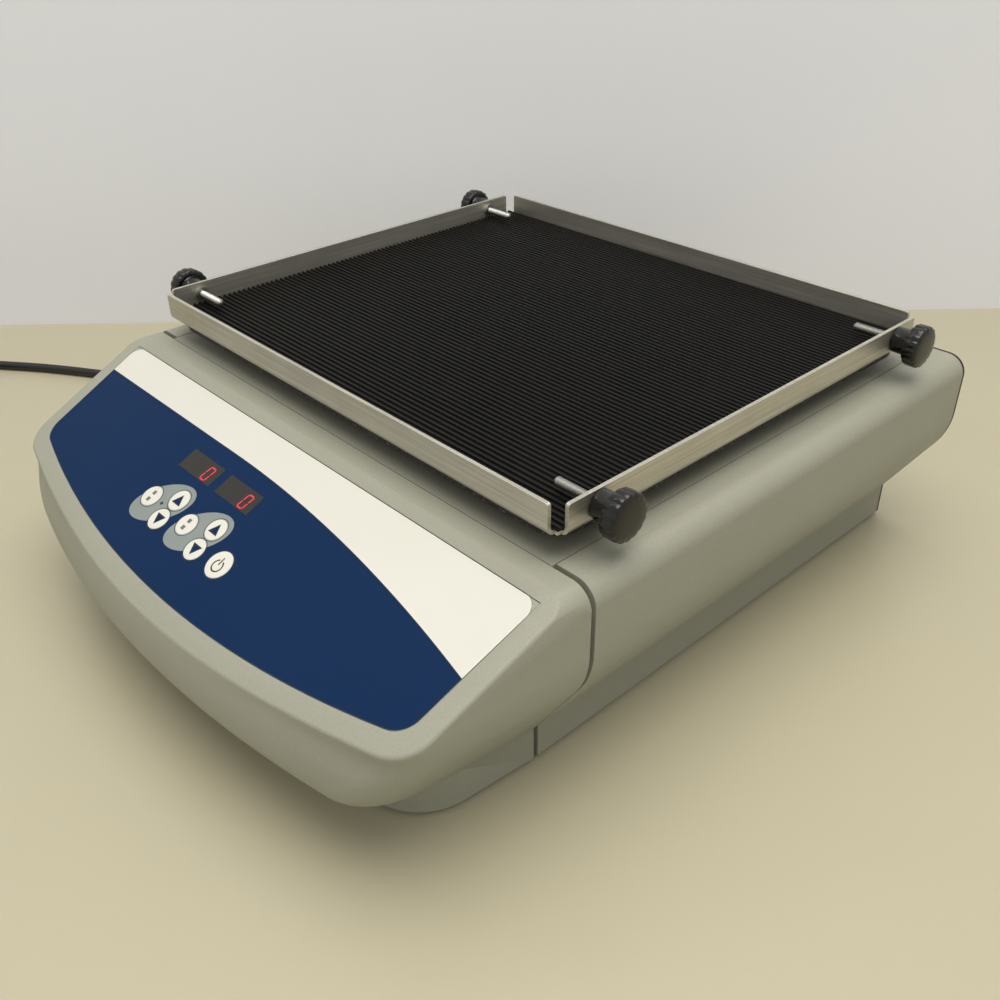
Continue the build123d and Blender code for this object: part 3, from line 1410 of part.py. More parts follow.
def build():
    """Write every sub-part."""
    save("base_plate", base_plate())
    save("rubber_feet", group(rubber_foot(x, y) for x, y in feet_at))
    save("right_side_panel", side_panel(1))
    save("left_side_panel", side_panel(-1))
    save("deck_panel", deck_panel())
    save("hex_pillars", group(hex_pillars()))
    save("pan_head_screws", group(pan_screws()))
    save("front_housing", front_housing())
    save("rear_panel", rear_panel())
    save("self_tapping_screws", group(tapping_screws()))
    save("socket_screws", group(flange_screws()))

    main_low, main_high = main_bearing_levels()
    idler_low, idler_high = idler_bearing_levels()
    (main_x, main_y), *idler_axes = axes
    save("main_bearing_housing", bearing_housing(main_x, main_y, large_bearing, main_flange_radius,
                                                 main_column_radius, main_column_top, 4))
    save("idler_bearing_housings", group(
        bearing_housing(x, y, small_bearing, idler_flange_radius, idler_column_radius, idler_column_top, 0)
        for x, y in idler_axes))
    rings = [outer_ring(large_bearing, main_x, main_y, z) for z in (main_low, main_high)]
    rings += [outer_ring(small_bearing, x, y, z) for x, y in idler_axes for z in (idler_low, idler_high)]
    save("frame_bearing_outer_rings", group(rings))
    save("main_crank", crank(main_x, main_y, large_bearing[1], main_low, main_column_top + shield_gap))
    pin_x, pin_y = pins[0]
    rings = [inner_ring(large_bearing, main_x, main_y, z) for z in (main_low, main_high)]
    rings.append(inner_ring(small_bearing, pin_x, pin_y, pin_bearing_z))
    save("main_inner_rings", group(rings))
    save("counterweight", counterweight())
    save("drive_pulley", drive_pulley())
    for name, (x, y), (px, py) in zip(("left", "right"), idler_axes, pins[1:]):
        save(f"{name}_idler_crank", crank(x, y, small_bearing[1], idler_low, idler_column_top + shield_gap))
        rings = [inner_ring(small_bearing, x, y, z) for z in (idler_low, idler_high)]
        rings.append(inner_ring(small_bearing, px, py, pin_bearing_z))
        save(f"{name}_idler_inner_rings", group(rings))
    save("motor", motor())
    save("motor_bracket", motor_bracket())
    save("motor_shaft", motor_shaft())
    save("motor_pulley", motor_pulley())
    save("drive_belt", drive_belt())

    save("platform_carrier", carrier())
    save("platform_bearing_outer_rings", group(outer_ring(small_bearing, x, y, pin_bearing_z) for x, y in pins))
    save("tray", tray())
    save("tray_screws", group(countersunk(x, y, 0, tray_sheet + carrier_thick - 0.5) for x, y in tray_screw_places()))
    save("rubber_mat", rubber_mat())
    save("clinch_nuts", group(clinch_nut(sign, y) for sign in (-1, 1) for y in clamp_ys()))
    for side, sign in (("left", -1), ("right", 1)):
        for end, y in zip(("front", "rear"), clamp_ys()):
            save(f"{side}_{end}_stud", clamp_stud(sign, y))
            save(f"{side}_{end}_knob", clamp_knob(sign, y))

    save("control_overlay", control_overlay())
    save("display_windows", group(display_window(x) for x in window_x))
    save("display_board", display_board())
    save("digit_modules", group(digit_module_at(x) for x in window_x))
    for name, x, drop, radius in keys():
        save(name, key(x, drop, radius))
    save("control_board", control_board())
    save("power_supply", power_supply())
    save("power_inlet", power_inlet())
    save("fuse_drawer", fuse_drawer())

    save("cord_connector", cord_connector())
    save("power_cord", group([cord_tube(cord_route), cord_tube(cord_tail)]))
    save("power_cord_coil", cord_coil())
    save("mains_plug", mains_plug())


os.makedirs("parts", exist_ok=True)
build()
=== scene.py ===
import bpy
import bmesh
import json
import math
from mathutils import Matrix, Vector


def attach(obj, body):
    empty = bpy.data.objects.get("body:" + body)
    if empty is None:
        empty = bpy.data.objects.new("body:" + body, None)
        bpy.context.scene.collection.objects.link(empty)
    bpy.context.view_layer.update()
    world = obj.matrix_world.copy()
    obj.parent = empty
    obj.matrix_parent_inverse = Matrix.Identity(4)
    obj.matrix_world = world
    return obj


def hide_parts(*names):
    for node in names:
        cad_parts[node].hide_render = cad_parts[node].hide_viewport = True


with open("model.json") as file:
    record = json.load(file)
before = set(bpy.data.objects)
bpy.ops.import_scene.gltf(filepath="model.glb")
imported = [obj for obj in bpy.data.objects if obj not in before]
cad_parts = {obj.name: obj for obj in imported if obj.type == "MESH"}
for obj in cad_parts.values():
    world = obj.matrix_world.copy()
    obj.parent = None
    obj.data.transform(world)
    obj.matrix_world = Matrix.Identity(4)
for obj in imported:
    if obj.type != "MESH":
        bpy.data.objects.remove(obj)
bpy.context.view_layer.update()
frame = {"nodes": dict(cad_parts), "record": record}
nodes = frame["nodes"]
print("frame loaded:", len(nodes), "nodes")

mm = 0.001

# the camera, as found by fitting the tray, case and display edges
cameraSetup = {
    "place": (0.40196, -0.34360, 0.37370),
    "forward": (-0.6237, 0.5660, -0.5391),
    "up": (-0.3878, 0.3747, 0.8421),
    "lens": 37.15,
    "sensor": 36.0,
}


def makeCamera():
    data = bpy.data.cameras.new("camera")
    data.lens = cameraSetup["lens"]
    data.sensor_width = cameraSetup["sensor"]
    data.clip_start = 0.01
    camera = bpy.data.objects.new("camera", data)
    bpy.context.scene.collection.objects.link(camera)
    back = -Vector(cameraSetup["forward"]).normalized()
    right = Vector(cameraSetup["up"]).cross(back).normalized()
    up = back.cross(right)
    turn = Matrix((right, up, back)).transposed()
    camera.matrix_world = Matrix.Translation(cameraSetup["place"]) @ turn.to_4x4()
    bpy.context.scene.camera = camera


makeCamera()

# one mains lead: down from its connector, behind the case, out to the left and into its coil
cord = {
    "radius": 3.5,
    "route": [
        (-98.0, 262.8, 49.5), (-98.5, 288.0, 47.5), (-106.0, 318.0, 29.0), (-130.0, 341.0, 9.0),
        (-168.0, 347.0, 3.5), (-208.0, 334.0, 3.5), (-246.0, 301.0, 3.5), (-276.0, 250.0, 3.5),
        (-296.0, 190.0, 3.5), (-306.0, 126.0, 3.5), (-313.5, 62.0, 3.5), (-327.0, 6.0, 3.5),
        (-354.0, -33.0, 3.5), (-392.0, -57.0, 3.5), (-434.2, -82.7, 3.5), (-468.0, -107.6, 3.5),
    ],
    "tail": [(-474.0, -222.6, 10.4), (-460.0, -226.0, 12.5), (-446.0, -226.0, 12.5)],
    "coilCentre": (-483.9, -180.0),
    "entry": 129.6,           # degrees round the coil
    "leave": 270.0,
    "turnPoints": 16,
    "jog": 50.0,              # degrees in which one turn passes to the next
    "turns": [(45.5, 3.5), (38.5, 3.5), (31.5, 3.5), (35.0, 9.6), (42.0, 9.6)],
    "length": 1.85,
}


def coilPoints():
    # one point every sixteenth of a turn; each jog carries the lead into its next turn
    step = 360.0 / cord["turnPoints"]
    last = cord["leave"] + 360.0 * (len(cord["turns"]) - 1)
    outward = 1.0 / math.cos(math.radians(step) / 2) ** 0.5
    points = []
    angle = cord["entry"]
    while angle < last - 0.3 * step:
        laps = (angle - cord["entry"]) / 360.0
        lap = min(int(laps), len(cord["turns"]) - 1)
        nextLap = min(lap + 1, len(cord["turns"]) - 1)
        into = max(0.0, (laps - lap) * 360.0 - (360.0 - cord["jog"])) / cord["jog"]
        (r0, z0), (r1, z1) = cord["turns"][lap], cord["turns"][nextLap]
        radius = (r0 + (r1 - r0) * into) * outward
        turned = math.radians(angle)
        x, y = cord["coilCentre"]
        points.append((x + radius * math.cos(turned), y + radius * math.sin(turned), z0 + (z1 - z0) * into))
        angle += step
    return points


def makeCord():
    points = cord["route"] + coilPoints() + cord["tail"]
    curve = bpy.data.curves.new("mainsLead", "CURVE")
    curve.dimensions = "3D"
    curve.bevel_depth = cord["radius"] * mm
    curve.bevel_resolution = 5
    curve.resolution_u = 8
    curve.use_fill_caps = True
    spline = curve.splines.new("NURBS")
    spline.points.add(len(points) - 1)
    for point, (x, y, z) in zip(spline.points, points):
        point.co = (x * mm, y * mm, z * mm, 1.0)
    spline.order_u = 3
    spline.use_endpoint_u = True
    lead = bpy.data.objects.new("mainsLead", curve)
    bpy.context.scene.collection.objects.link(lead)
    return lead


mainsLead = makeCord()
print("camera and cord made")


# Materials

def linear(hexCode):
    # sRGB hex to linear RGBA
    values = [int(hexCode[k:k + 2], 16) / 255 for k in (1, 3, 5)]
    return [v / 12.92 if v <= 0.04045 else ((v + 0.055) / 1.055) ** 2.4 for v in values] + [1.0]


def setInputs(tree, node, links):
    # each input is joined to a socket or given a value
    for name, value in links.items():
        if isinstance(value, bpy.types.NodeSocket):
            tree.links.new(value, node.inputs[name])
        else:
            node.inputs[name].default_value = value


def addNode(tree, kind, links=None, out=0, **settings):
    # adds a node with its settings and links, and gives back one of its outputs
    node = tree.nodes.new(kind)
    for name, value in settings.items():
        setattr(node, name, value)
    setInputs(tree, node, links or {})
    return node.outputs[out]


def newMaterial(name, hexCode, roughness, metallic=0.0):
    material = bpy.data.materials.new(name)
    material.use_nodes = True
    material.diffuse_color = linear(hexCode)
    tree = material.node_tree
    shader = tree.nodes["Principled BSDF"]
    shader.inputs["Base Color"].default_value = linear(hexCode)
    shader.inputs["Roughness"].default_value = roughness
    shader.inputs["Metallic"].default_value = metallic
    return material, tree, shader


def perMetre(grainMm):
    # pattern scale for a grain of so many millimetres
    return 1000.0 / grainMm


# a colour mix takes its factor at input 0 and its colours at 6 and 7, and gives its result at output 2


def paintedPlastic(name, hexCode, paleHex, pebble, rise, wornHex="#86826F"):
    # moulded housing with a sprayed, pebbled coat: soft sheen broken by fine bumps
    material, tree, shader = newMaterial(name, hexCode, 0.5)
    point = addNode(tree, "ShaderNodeTexCoord", out="Object")
    bumps = addNode(tree, "ShaderNodeTexNoise", {"Vector": point, "Scale": perMetre(pebble), "Detail": 2.0})
    blotch = addNode(tree, "ShaderNodeTexNoise", {"Vector": point, "Scale": perMetre(45), "Detail": 3.0})
    speck = addNode(tree, "ShaderNodeMapRange", {"Value": bumps, "To Min": -0.2, "To Max": 0.55})
    worn = addNode(tree, "ShaderNodeMapRange", {"Value": blotch, "To Min": 0.0, "To Max": 0.16})
    sheen = addNode(tree, "ShaderNodeMapRange", {"Value": blotch, "To Min": 0.42, "To Max": 0.58})
    base, pale = linear(hexCode), linear(paleHex)
    pebbled = addNode(tree, "ShaderNodeMix", {0: speck, 6: base, 7: pale}, 2, data_type="RGBA")
    tone = addNode(tree, "ShaderNodeMix", {0: worn, 6: pebbled, 7: linear(wornHex)}, 2, data_type="RGBA")
    relief = addNode(tree, "ShaderNodeBump", {"Height": bumps, "Strength": 0.55, "Distance": rise * mm})
    setInputs(tree, shader, {"Base Color": tone, "Roughness": sheen, "Normal": relief})
    return material


def brushedAluminium(name):
    # satin sheet, brushed along each flange: fine streaks and a stretched highlight
    dark, pale, dull = linear("#ADA99C"), linear("#DBD9D0"), linear("#9C978A")
    material, tree, shader = newMaterial(name, "#C6C2B6", 0.42, 0.9)
    point = addNode(tree, "ShaderNodeTexCoord", out="Object")
    normal = addNode(tree, "ShaderNodeNewGeometry", out="Normal")
    across = addNode(tree, "ShaderNodeSeparateXYZ", {"Vector": normal}, "X")
    sideways = addNode(tree, "ShaderNodeMath", {0: across}, operation="ABSOLUTE")
    onSide = addNode(tree, "ShaderNodeMath", {0: sideways, 1: 0.5}, operation="GREATER_THAN")
    lines = []
    for stretch in ((14, 1500, 1500), (1500, 14, 1500)):    # long along X, then along Y
        along = addNode(tree, "ShaderNodeMapping", {"Vector": point, "Scale": stretch})
        lines.append(addNode(tree, "ShaderNodeTexNoise", {"Vector": along, "Scale": 1.0, "Detail": 4.0}))
    grain = addNode(tree, "ShaderNodeMix", {0: onSide, 2: lines[0], 3: lines[1]})
    stain = addNode(tree, "ShaderNodeTexNoise", {"Vector": point, "Scale": perMetre(22), "Detail": 5.0})
    bright = addNode(tree, "ShaderNodeMapRange", {"Value": grain, "To Min": -0.3, "To Max": 1.3})
    dulled = addNode(tree, "ShaderNodeMapRange", {"Value": stain, "To Min": -0.25, "To Max": 0.4})
    sheen = addNode(tree, "ShaderNodeMapRange", {"Value": grain, "To Min": 0.34, "To Max": 0.54})
    streaked = addNode(tree, "ShaderNodeMix", {0: bright, 6: dark, 7: pale}, 2, data_type="RGBA")
    tone = addNode(tree, "ShaderNodeMix", {0: dulled, 6: streaked, 7: dull}, 2, data_type="RGBA")
    relief = addNode(tree, "ShaderNodeBump", {"Height": grain, "Strength": 0.25, "Distance": 0.02 * mm})
    setInputs(tree, shader, {"Base Color": tone, "Roughness": sheen, "Normal": relief, "Anisotropic": 0.3})
    return material


def cloudedFinish(name, hexCode, second, roughness, look, metallic=0.0, gloss=0.5):
    # a second tone and a sheen that drift across the surface in clouds, over a fine relief
    material, tree, shader = newMaterial(name, hexCode, roughness, metallic)
    point = addNode(tree, "ShaderNodeTexCoord", out="Object")
    size, detail = look["cloud"]
    cloud = addNode(tree, "ShaderNodeTexNoise", {"Vector": point, "Scale": perMetre(size), "Detail": detail})
    size, detail = look["grain"]
    grain = addNode(tree, "ShaderNodeTexNoise", {"Vector": point, "Scale": perMetre(size), "Detail": detail})
    least, most = look["share"]
    share = addNode(tree, "ShaderNodeMapRange", {"Value": cloud, "To Min": least, "To Max": most})
    smooth, rough = roughness - look["sheen"][0], roughness + look["sheen"][1]
    sheen = addNode(tree, "ShaderNodeMapRange", {"Value": cloud, "To Min": smooth, "To Max": rough})
    tone = addNode(tree, "ShaderNodeMix", {0: share, 6: linear(hexCode), 7: second}, 2, data_type="RGBA")
    strength, rise = look["relief"]
    relief = addNode(tree, "ShaderNodeBump", {"Height": grain, "Strength": strength, "Distance": rise * mm})
    setInputs(tree, shader, {"Base Color": tone, "Roughness": sheen, "Normal": relief})
    setInputs(tree, shader, {"Specular IOR Level": gloss})
    return material


def shaded(hexCode, times, plus=0.0):
    # the same colour, so many times as bright
    return [min(1.0, v * times + plus) for v in linear(hexCode)[:3]] + [1.0]


# in each look, cloud and grain are a size in mm and a detail; relief is a strength and a rise in mm


def grainedMetal(name, hexCode, roughness, grain=0.6, rise=0.02, metallic=1.0):
    # turned, ground, cast or plated metal: a fine even grain over faint cloudiness
    look = {"cloud": (18, 3.0), "share": (-0.2, 0.8), "sheen": (0.08, 0.10), "grain": (grain, 3.0),
            "relief": (0.4, rise)}
    return cloudedFinish(name, hexCode, shaded(hexCode, 0.72), roughness, look, metallic)


def blackRubber(name, hexCode, dustHex, roughness, dust, gloss=0.5):
    # extruded or moulded rubber: dull black with pale dust caught in its surface
    look = {"cloud": (35, 6.0), "share": (-dust, 2.2 * dust), "sheen": (0.08, 0.12), "grain": (0.7, 3.0),
            "relief": (0.35, 0.03)}
    return cloudedFinish(name, hexCode, linear(dustHex), roughness, look, gloss=gloss)


def printedFilm(name, hexCode, shadeHex, roughness=0.34, gloss=0.5):
    # screen-printed polyester film: even ink under a fine velvet face
    look = {"cloud": (60, 2.0), "share": (0.0, 0.5), "sheen": (0.05, 0.06), "grain": (0.5, 2.0),
            "relief": (0.2, 0.01)}
    return cloudedFinish(name, hexCode, linear(shadeHex), roughness, look, gloss=gloss)


def mouldedGloss(name, hexCode, roughness):
    # injection-moulded plastic with a polished face and faint handling marks
    look = {"cloud": (4, 6.0), "share": (-0.3, 0.7), "sheen": (0.06, 0.12), "grain": (4, 6.0),
            "relief": (0.12, 0.05)}
    return cloudedFinish(name, hexCode, shaded(hexCode, 1.6, 0.004), roughness, look)


def granularCoat(name):
    # coarse black grit coat on the casting under the tray: dark grains, with pale specks painted in as glints
    black, speck = "#0E0E0D", "#A6A49A"
    material, tree, shader = newMaterial(name, black, 0.55)
    point = addNode(tree, "ShaderNodeTexCoord", out="Object")
    grit = addNode(tree, "ShaderNodeTexVoronoi", {"Vector": point, "Scale": perMetre(1.3)})
    # where the grains are closest the pale speck colour is painted in: painted glints, not pale grit
    paintedGlint = addNode(tree, "ShaderNodeMath", {0: grit, 1: 0.16}, operation="LESS_THAN")
    colours = {0: paintedGlint, 6: linear(black), 7: linear(speck)}
    tone = addNode(tree, "ShaderNodeMix", colours, 2, data_type="RGBA")
    relief = addNode(tree, "ShaderNodeBump", {"Height": grit, "Strength": 0.9, "Distance": 0.4 * mm})
    setInputs(tree, shader, {"Base Color": tone, "Normal": relief})
    return material


def litSegment(name):
    # red light-emitting segment behind a tinted window
    material, tree, shader = newMaterial(name, "#9A1022", 0.4)
    setInputs(tree, shader, {"Emission Color": linear("#DA1E36"), "Emission Strength": 0.85})
    return material


def circuitResin(name):
    # green resist over glass fibre: slight gloss with the weave just showing
    green, deep = "#1C5A38", "#18502F"
    material, tree, shader = newMaterial(name, green, 0.35)
    point = addNode(tree, "ShaderNodeTexCoord", out="Object")
    weave = addNode(tree, "ShaderNodeTexChecker", {"Vector": point, "Scale": perMetre(1.2)}, "Fac")
    tone = addNode(tree, "ShaderNodeMix", {0: weave, 6: linear(green), 7: linear(deep)}, 2, data_type="RGBA")
    relief = addNode(tree, "ShaderNodeBump", {"Height": weave, "Strength": 0.2, "Distance": 0.02 * mm})
    setInputs(tree, shader, {"Base Color": tone, "Normal": relief})
    return material


finishes = {
    "housingPaint": paintedPlastic("housingPaint", "#8F9083", "#A4A598", 0.9, 0.10),
    "deckPaint": paintedPlastic("deckPaint", "#8B8B7E", "#9E9E91", 0.7, 0.07),
    "blackPowderCoat": paintedPlastic("blackPowderCoat", "#0A0A0A", "#151514", 0.8, 0.08, "#1A1A19"),
    "trayAluminium": brushedAluminium("trayAluminium"),
    "ribbedRubber": blackRubber("ribbedRubber", "#090908", "#26251F", 0.46, 0.12, 0.16),
    "footRubber": blackRubber("footRubber", "#141414", "#2A2926", 0.6, 0.1),
    "leadVinyl": blackRubber("leadVinyl", "#0D0D0E", "#1B1B1B", 0.28, 0.1),
    "carrierGrit": granularCoat("carrierGrit"),
    "knobPlastic": mouldedGloss("knobPlastic", "#030303", 0.12),
    "inletPlastic": mouldedGloss("inletPlastic", "#101010", 0.4),
    "filmWhite": printedFilm("filmWhite", "#D0CFC8", "#C6C4BA"),
    "filmBlue": printedFilm("filmBlue", "#05264C", "#042144", 0.42, 0.09),
    "filmGrey": printedFilm("filmGrey", "#7E8785", "#78817F"),
    "inkNavy": printedFilm("inkNavy", "#07111F", "#080F1A"),
    "inkGrey": printedFilm("inkGrey", "#5A605F", "#6E7473"),
    "keyFilm": printedFilm("keyFilm", "#D4D3CB", "#CBC9BF"),
    "windowTint": mouldedGloss("windowTint", "#1B1915", 0.14),
    "ledRed": litSegment("ledRed"),
    "zincPlate": grainedMetal("zincPlate", "#BDBDB8", 0.34),
    "sheetSteel": grainedMetal("sheetSteel", "#B6B7B4", 0.36, 1.2),
    "groundSteel": grainedMetal("groundSteel", "#C2C2C2", 0.26, 0.4),
    "ringSteel": grainedMetal("ringSteel", "#CDCDCE", 0.16, 0.4),
    "castAluminium": grainedMetal("castAluminium", "#A9A9A8", 0.5, 1.4, 0.12),
    "turnedAluminium": grainedMetal("turnedAluminium", "#C9C9C8", 0.3, 0.5),
    "castIron": grainedMetal("castIron", "#4A4846", 0.6, 1.2, 0.12),
    "motorPaint": grainedMetal("motorPaint", "#17181A", 0.42, 0.8, 0.05, 0.0),
    "boardResin": circuitResin("boardResin"),
}

nodeFinish = {
    "base_plate": "sheetSteel", "rubber_feet": "footRubber", "hex_pillars": "zincPlate",
    "pan_head_screws": "zincPlate", "socket_screws": "zincPlate", "self_tapping_screws": "zincPlate",
    "left_side_panel": "housingPaint", "right_side_panel": "housingPaint", "deck_panel": "deckPaint",
    "front_housing": "housingPaint", "rear_panel": "blackPowderCoat",
    "main_bearing_housing": "castAluminium", "idler_bearing_housings": "castAluminium",
    "frame_bearing_outer_rings": "ringSteel", "motor": "motorPaint",
    "motor_bracket": "sheetSteel", "drive_belt": "footRubber", "control_board": "boardResin",
    "power_supply": "sheetSteel", "power_inlet": "inletPlastic", "fuse_drawer": "inletPlastic",
    "display_board": "boardResin", "digit_modules": "inletPlastic", "control_overlay": "filmWhite",
    "display_windows": "windowTint", "cord_connector": "leadVinyl", "power_cord": "leadVinyl",
    "power_cord_coil": "leadVinyl", "mains_plug": "leadVinyl", "main_crank": "groundSteel",
    "main_inner_rings": "ringSteel", "counterweight": "castIron", "drive_pulley": "turnedAluminium",
    "left_idler_crank": "groundSteel", "left_idler_inner_rings": "ringSteel",
    "right_idler_crank": "groundSteel", "right_idler_inner_rings": "ringSteel",
    "motor_shaft": "groundSteel", "motor_pulley": "turnedAluminium", "platform_carrier": "carrierGrit",
    "platform_bearing_outer_rings": "ringSteel", "tray": "trayAluminium", "tray_screws": "zincPlate",
    "rubber_mat": "ribbedRubber", "clinch_nuts": "zincPlate",
}


def finishNode(name):
    if name in nodeFinish:
        return nodeFinish[name]
    if name.endswith("_knob"):
        return "knobPlastic"
    if name.endswith("_stud"):
        return "zincPlate"
    return "keyFilm"


for name, node in nodes.items():
    node.data.materials.clear()
    node.data.materials.append(finishes[finishNode(name)])
print("materials made and given to the nodes")


# Pieces

def pieceFrom(bm, name, finish, body, smoothAngle=None):
    # the finished mesh becomes a piece that rides on its body
    bmesh.ops.recalc_face_normals(bm, faces=bm.faces)
    mesh = bpy.data.meshes.new(name)
    bm.to_mesh(mesh)
    bm.free()
    if smoothAngle:
        mesh.shade_smooth()
        mesh.set_sharp_from_angle(angle=math.radians(smoothAngle))
    mesh.materials.append(finishes[finish])
    piece = bpy.data.objects.new(name, mesh)
    bpy.context.scene.collection.objects.link(piece)
    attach(piece, body)
    return piece


def bodyOf(node):
    for body, members in frame["record"]["behaviour"]["bodies"].items():
        if node in members:
            return body


# CAD forms shown as merged copies, with smooth curves and softly broken edges
softened = {
    "front_housing": 0.35, "left_side_panel": 0.4, "right_side_panel": 0.4, "deck_panel": 0.3,
    "tray": 0.25, "platform_carrier": 0.5, "power_inlet": 0.3, "cord_connector": 0.6, "mains_plug": 0.5,
    "rear_panel": 0.2,
}
softEdge = {"weld": 1e-6, "flat": 0.4, "smooth": 28, "bevelFrom": 35, "segments": 2}    # m, then degrees


def softenedCopy(node, width):
    bm = bmesh.new()
    bm.from_mesh(nodes[node].data)
    bmesh.ops.remove_doubles(bm, verts=bm.verts, dist=softEdge["weld"])
    bmesh.ops.dissolve_limit(bm, angle_limit=math.radians(softEdge["flat"]), verts=bm.verts, edges=bm.edges)
    piece = pieceFrom(bm, node + "Shell", finishNode(node), bodyOf(node), softEdge["smooth"])
    bevel = piece.modifiers.new("edges", "BEVEL")
    bevel.width = width * mm
    bevel.segments = softEdge["segments"]
    bevel.limit_method = "ANGLE"
    bevel.angle_limit = math.radians(softEdge["bevelFrom"])
    bevel.use_clamp_overlap = True
    bevel.harden_normals = True
    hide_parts(node)
    return piece


shells = {node: softenedCopy(node, width) for node, width in softened.items()}
print("shells softened")

# the sloping control panel: a place on it is so far across and so far down the slope, in mm
panel = {"angle": 24.86, "topY": -108.1, "topZ": 121.2}
# how high each print, and the painted shade line round the film, lies above the panel, in mm, so that none
# lies inside another
printLift = {
    "blueField": 0.10, "fieldEdge": 0.11, "edgeShade": 0.12, "pane": 0.13, "keyField": 0.135, "keyEdge": 0.14,
    "dot": 0.17, "digit": 0.17,
}


def panelMatrix(across, drop, lift):
    tilt = math.radians(panel["angle"])
    right = Vector((1, 0, 0))
    off = Vector((0, -math.sin(tilt), math.cos(tilt)))
    up = off.cross(right)
    turn = Matrix((right, up, off)).transposed().to_4x4()
    origin = Vector((0, panel["topY"], panel["topZ"])) + right * across - up * drop + off * lift
    return Matrix.Translation(origin * mm) @ turn


def flatPrint(name, outline, finish, body, across, drop, lift, thick=0.03):
    # a thin printed shape; its outline is in mm, across and up the slope
    bm = bmesh.new()
    loop = [bm.verts.new((x * mm, y * mm, 0)) for x, y in outline]
    face = bm.faces.new(loop)
    if face.normal.z < 0:
        face.normal_flip()
    raised = bmesh.ops.extrude_face_region(bm, geom=[face])
    moved = [v for v in raised["geom"] if isinstance(v, bmesh.types.BMVert)]
    bmesh.ops.translate(bm, vec=(0, 0, thick * mm), verts=moved)
    bmesh.ops.transform(bm, matrix=panelMatrix(across, drop, lift), verts=bm.verts)
    return pieceFrom(bm, name, finish, body)


def arc(cx, cy, radius, start, end, steps):
    turn = math.radians((end - start) / steps)
    first = math.radians(start)
    return [(cx + radius * math.cos(first + turn * k), cy + radius * math.sin(first + turn * k))
            for k in range(steps + 1)]


blueField = {
    "halfTop": 173.2, "halfLow": 167.0, "topDrop": 7.6, "lowDrop": 82.3, "nose": 105.7, "noseArc": 589.0,
    "corner": 13.0, "straightDrop": 28.3, "bendFrom": -30.0, "bendEndDrop": 50.9, "bendArc": 902.0,
    "bendSteps": 40, "noseSteps": 60, "cornerSteps": 10,
}


def sideX(drop):
    # half width of the film at this place down the slope
    b = blueField
    slant = (b["halfTop"] - b["halfLow"]) / (b["lowDrop"] - b["topDrop"])
    return b["halfTop"] - slant * (drop - b["topDrop"])


def noseDrop(x):
    # how far down the slope the bowed lower edge is
    b = blueField
    return b["nose"] - b["noseArc"] + math.sqrt(b["noseArc"] ** 2 - x ** 2)


def lowerEdge():
    # the film's own edge: right corner, bowed nose, left corner
    b = blueField
    low = noseDrop(sideX(b["lowDrop"]))
    noseTilt = math.asin(sideX(low) / b["noseArc"])
    sideTilt = math.atan((b["halfTop"] - b["halfLow"]) / (b["lowDrop"] - b["topDrop"]))
    r = b["corner"]
    tuck = r * math.tan((math.pi / 2 - noseTilt - sideTilt) / 2)
    span = sideX(low) - tuck * math.cos(noseTilt)
    centre = (span - r * math.sin(noseTilt), -noseDrop(span) + r * math.cos(noseTilt))
    right = arc(*centre, r, -math.degrees(sideTilt), math.degrees(noseTilt) - 90, b["cornerSteps"])
    bow = []
    for k in range(1, b["noseSteps"]):
        x = span - 2 * span * k / b["noseSteps"]
        bow.append((x, -noseDrop(x)))
    return right + bow + [(-x, y) for x, y in reversed(right)]


def blueOutline():
    # straight top edge on the left, falling away to the right
    b = blueField
    outline = [(-sideX(b["straightDrop"]), -b["straightDrop"]), (b["bendFrom"], -b["straightDrop"])]
    reach = sideX(b["bendEndDrop"]) - b["bendFrom"]
    for k in range(1, b["bendSteps"] + 1):
        along = reach * k / b["bendSteps"]
        fall = b["bendArc"] - math.sqrt(b["bendArc"] ** 2 - along ** 2)
        outline.append((b["bendFrom"] + along, -b["straightDrop"] - fall))
    return outline + lowerEdge()


def filmOutline():
    # the whole film, with its straight top edge
    b = blueField
    return [(-b["halfTop"], -b["topDrop"]), (b["halfTop"], -b["topDrop"])] + lowerEdge()


flatPrint("printedBlueField", blueOutline(), "filmBlue", "case", 0, 0, printLift["blueField"])


def thinEdge(outline, width):
    # the inner edge of a band this wide, laid inside the outline
    count = len(outline)
    inner = []
    for k in range(count):
        (x0, y0), (x1, y1), (x2, y2) = outline[k - 1], outline[k], outline[(k + 1) % count]
        along = Vector((x2 - x0, y2 - y0)).normalized()
        inner.append((x1 + along.y * width, y1 - along.x * width))
    return inner


def bandPrint(name, outline, width, finish, across, drop, lift, thick=0.03):
    bm = bmesh.new()
    outer = [bm.verts.new((x * mm, y * mm, 0)) for x, y in outline]
    inner = [bm.verts.new((x * mm, y * mm, 0)) for x, y in thinEdge(outline, width)]
    edges = []
    for loop in (outer, inner):
        for k in range(len(loop)):
            edges.append(bm.edges.new((loop[k - 1], loop[k])))
    band = bmesh.ops.bridge_loops(bm, edges=edges)["faces"]
    raised = bmesh.ops.extrude_face_region(bm, geom=band)
    moved = [v for v in raised["geom"] if isinstance(v, bmesh.types.BMVert)]
    bmesh.ops.translate(bm, vec=(0, 0, thick * mm), verts=moved)
    bmesh.ops.transform(bm, matrix=panelMatrix(across, drop, lift), verts=bm.verts)
    return pieceFrom(bm, name, finish, "case")


bandPrint("printedFieldEdge", blueOutline(), 0.35, "inkNavy", 0, 0, printLift["fieldEdge"], 0.04)
# a thin dark band just inside the film's edge: painted shade of the gap where the film meets the panel, in
# navy
bandPrint("filmEdgeShade", filmOutline(), 0.3, "inkNavy", 0, 0, printLift["edgeShade"], 0.045)

# grey ovals under each group of three keys
keyGroups = {
    "speed": {"across": -42.5, "drop": 71.0}, "time": {"across": -5.9, "drop": 71.0},
    "long": 20.2, "short": 11.4, "tilt": 37.0,
}


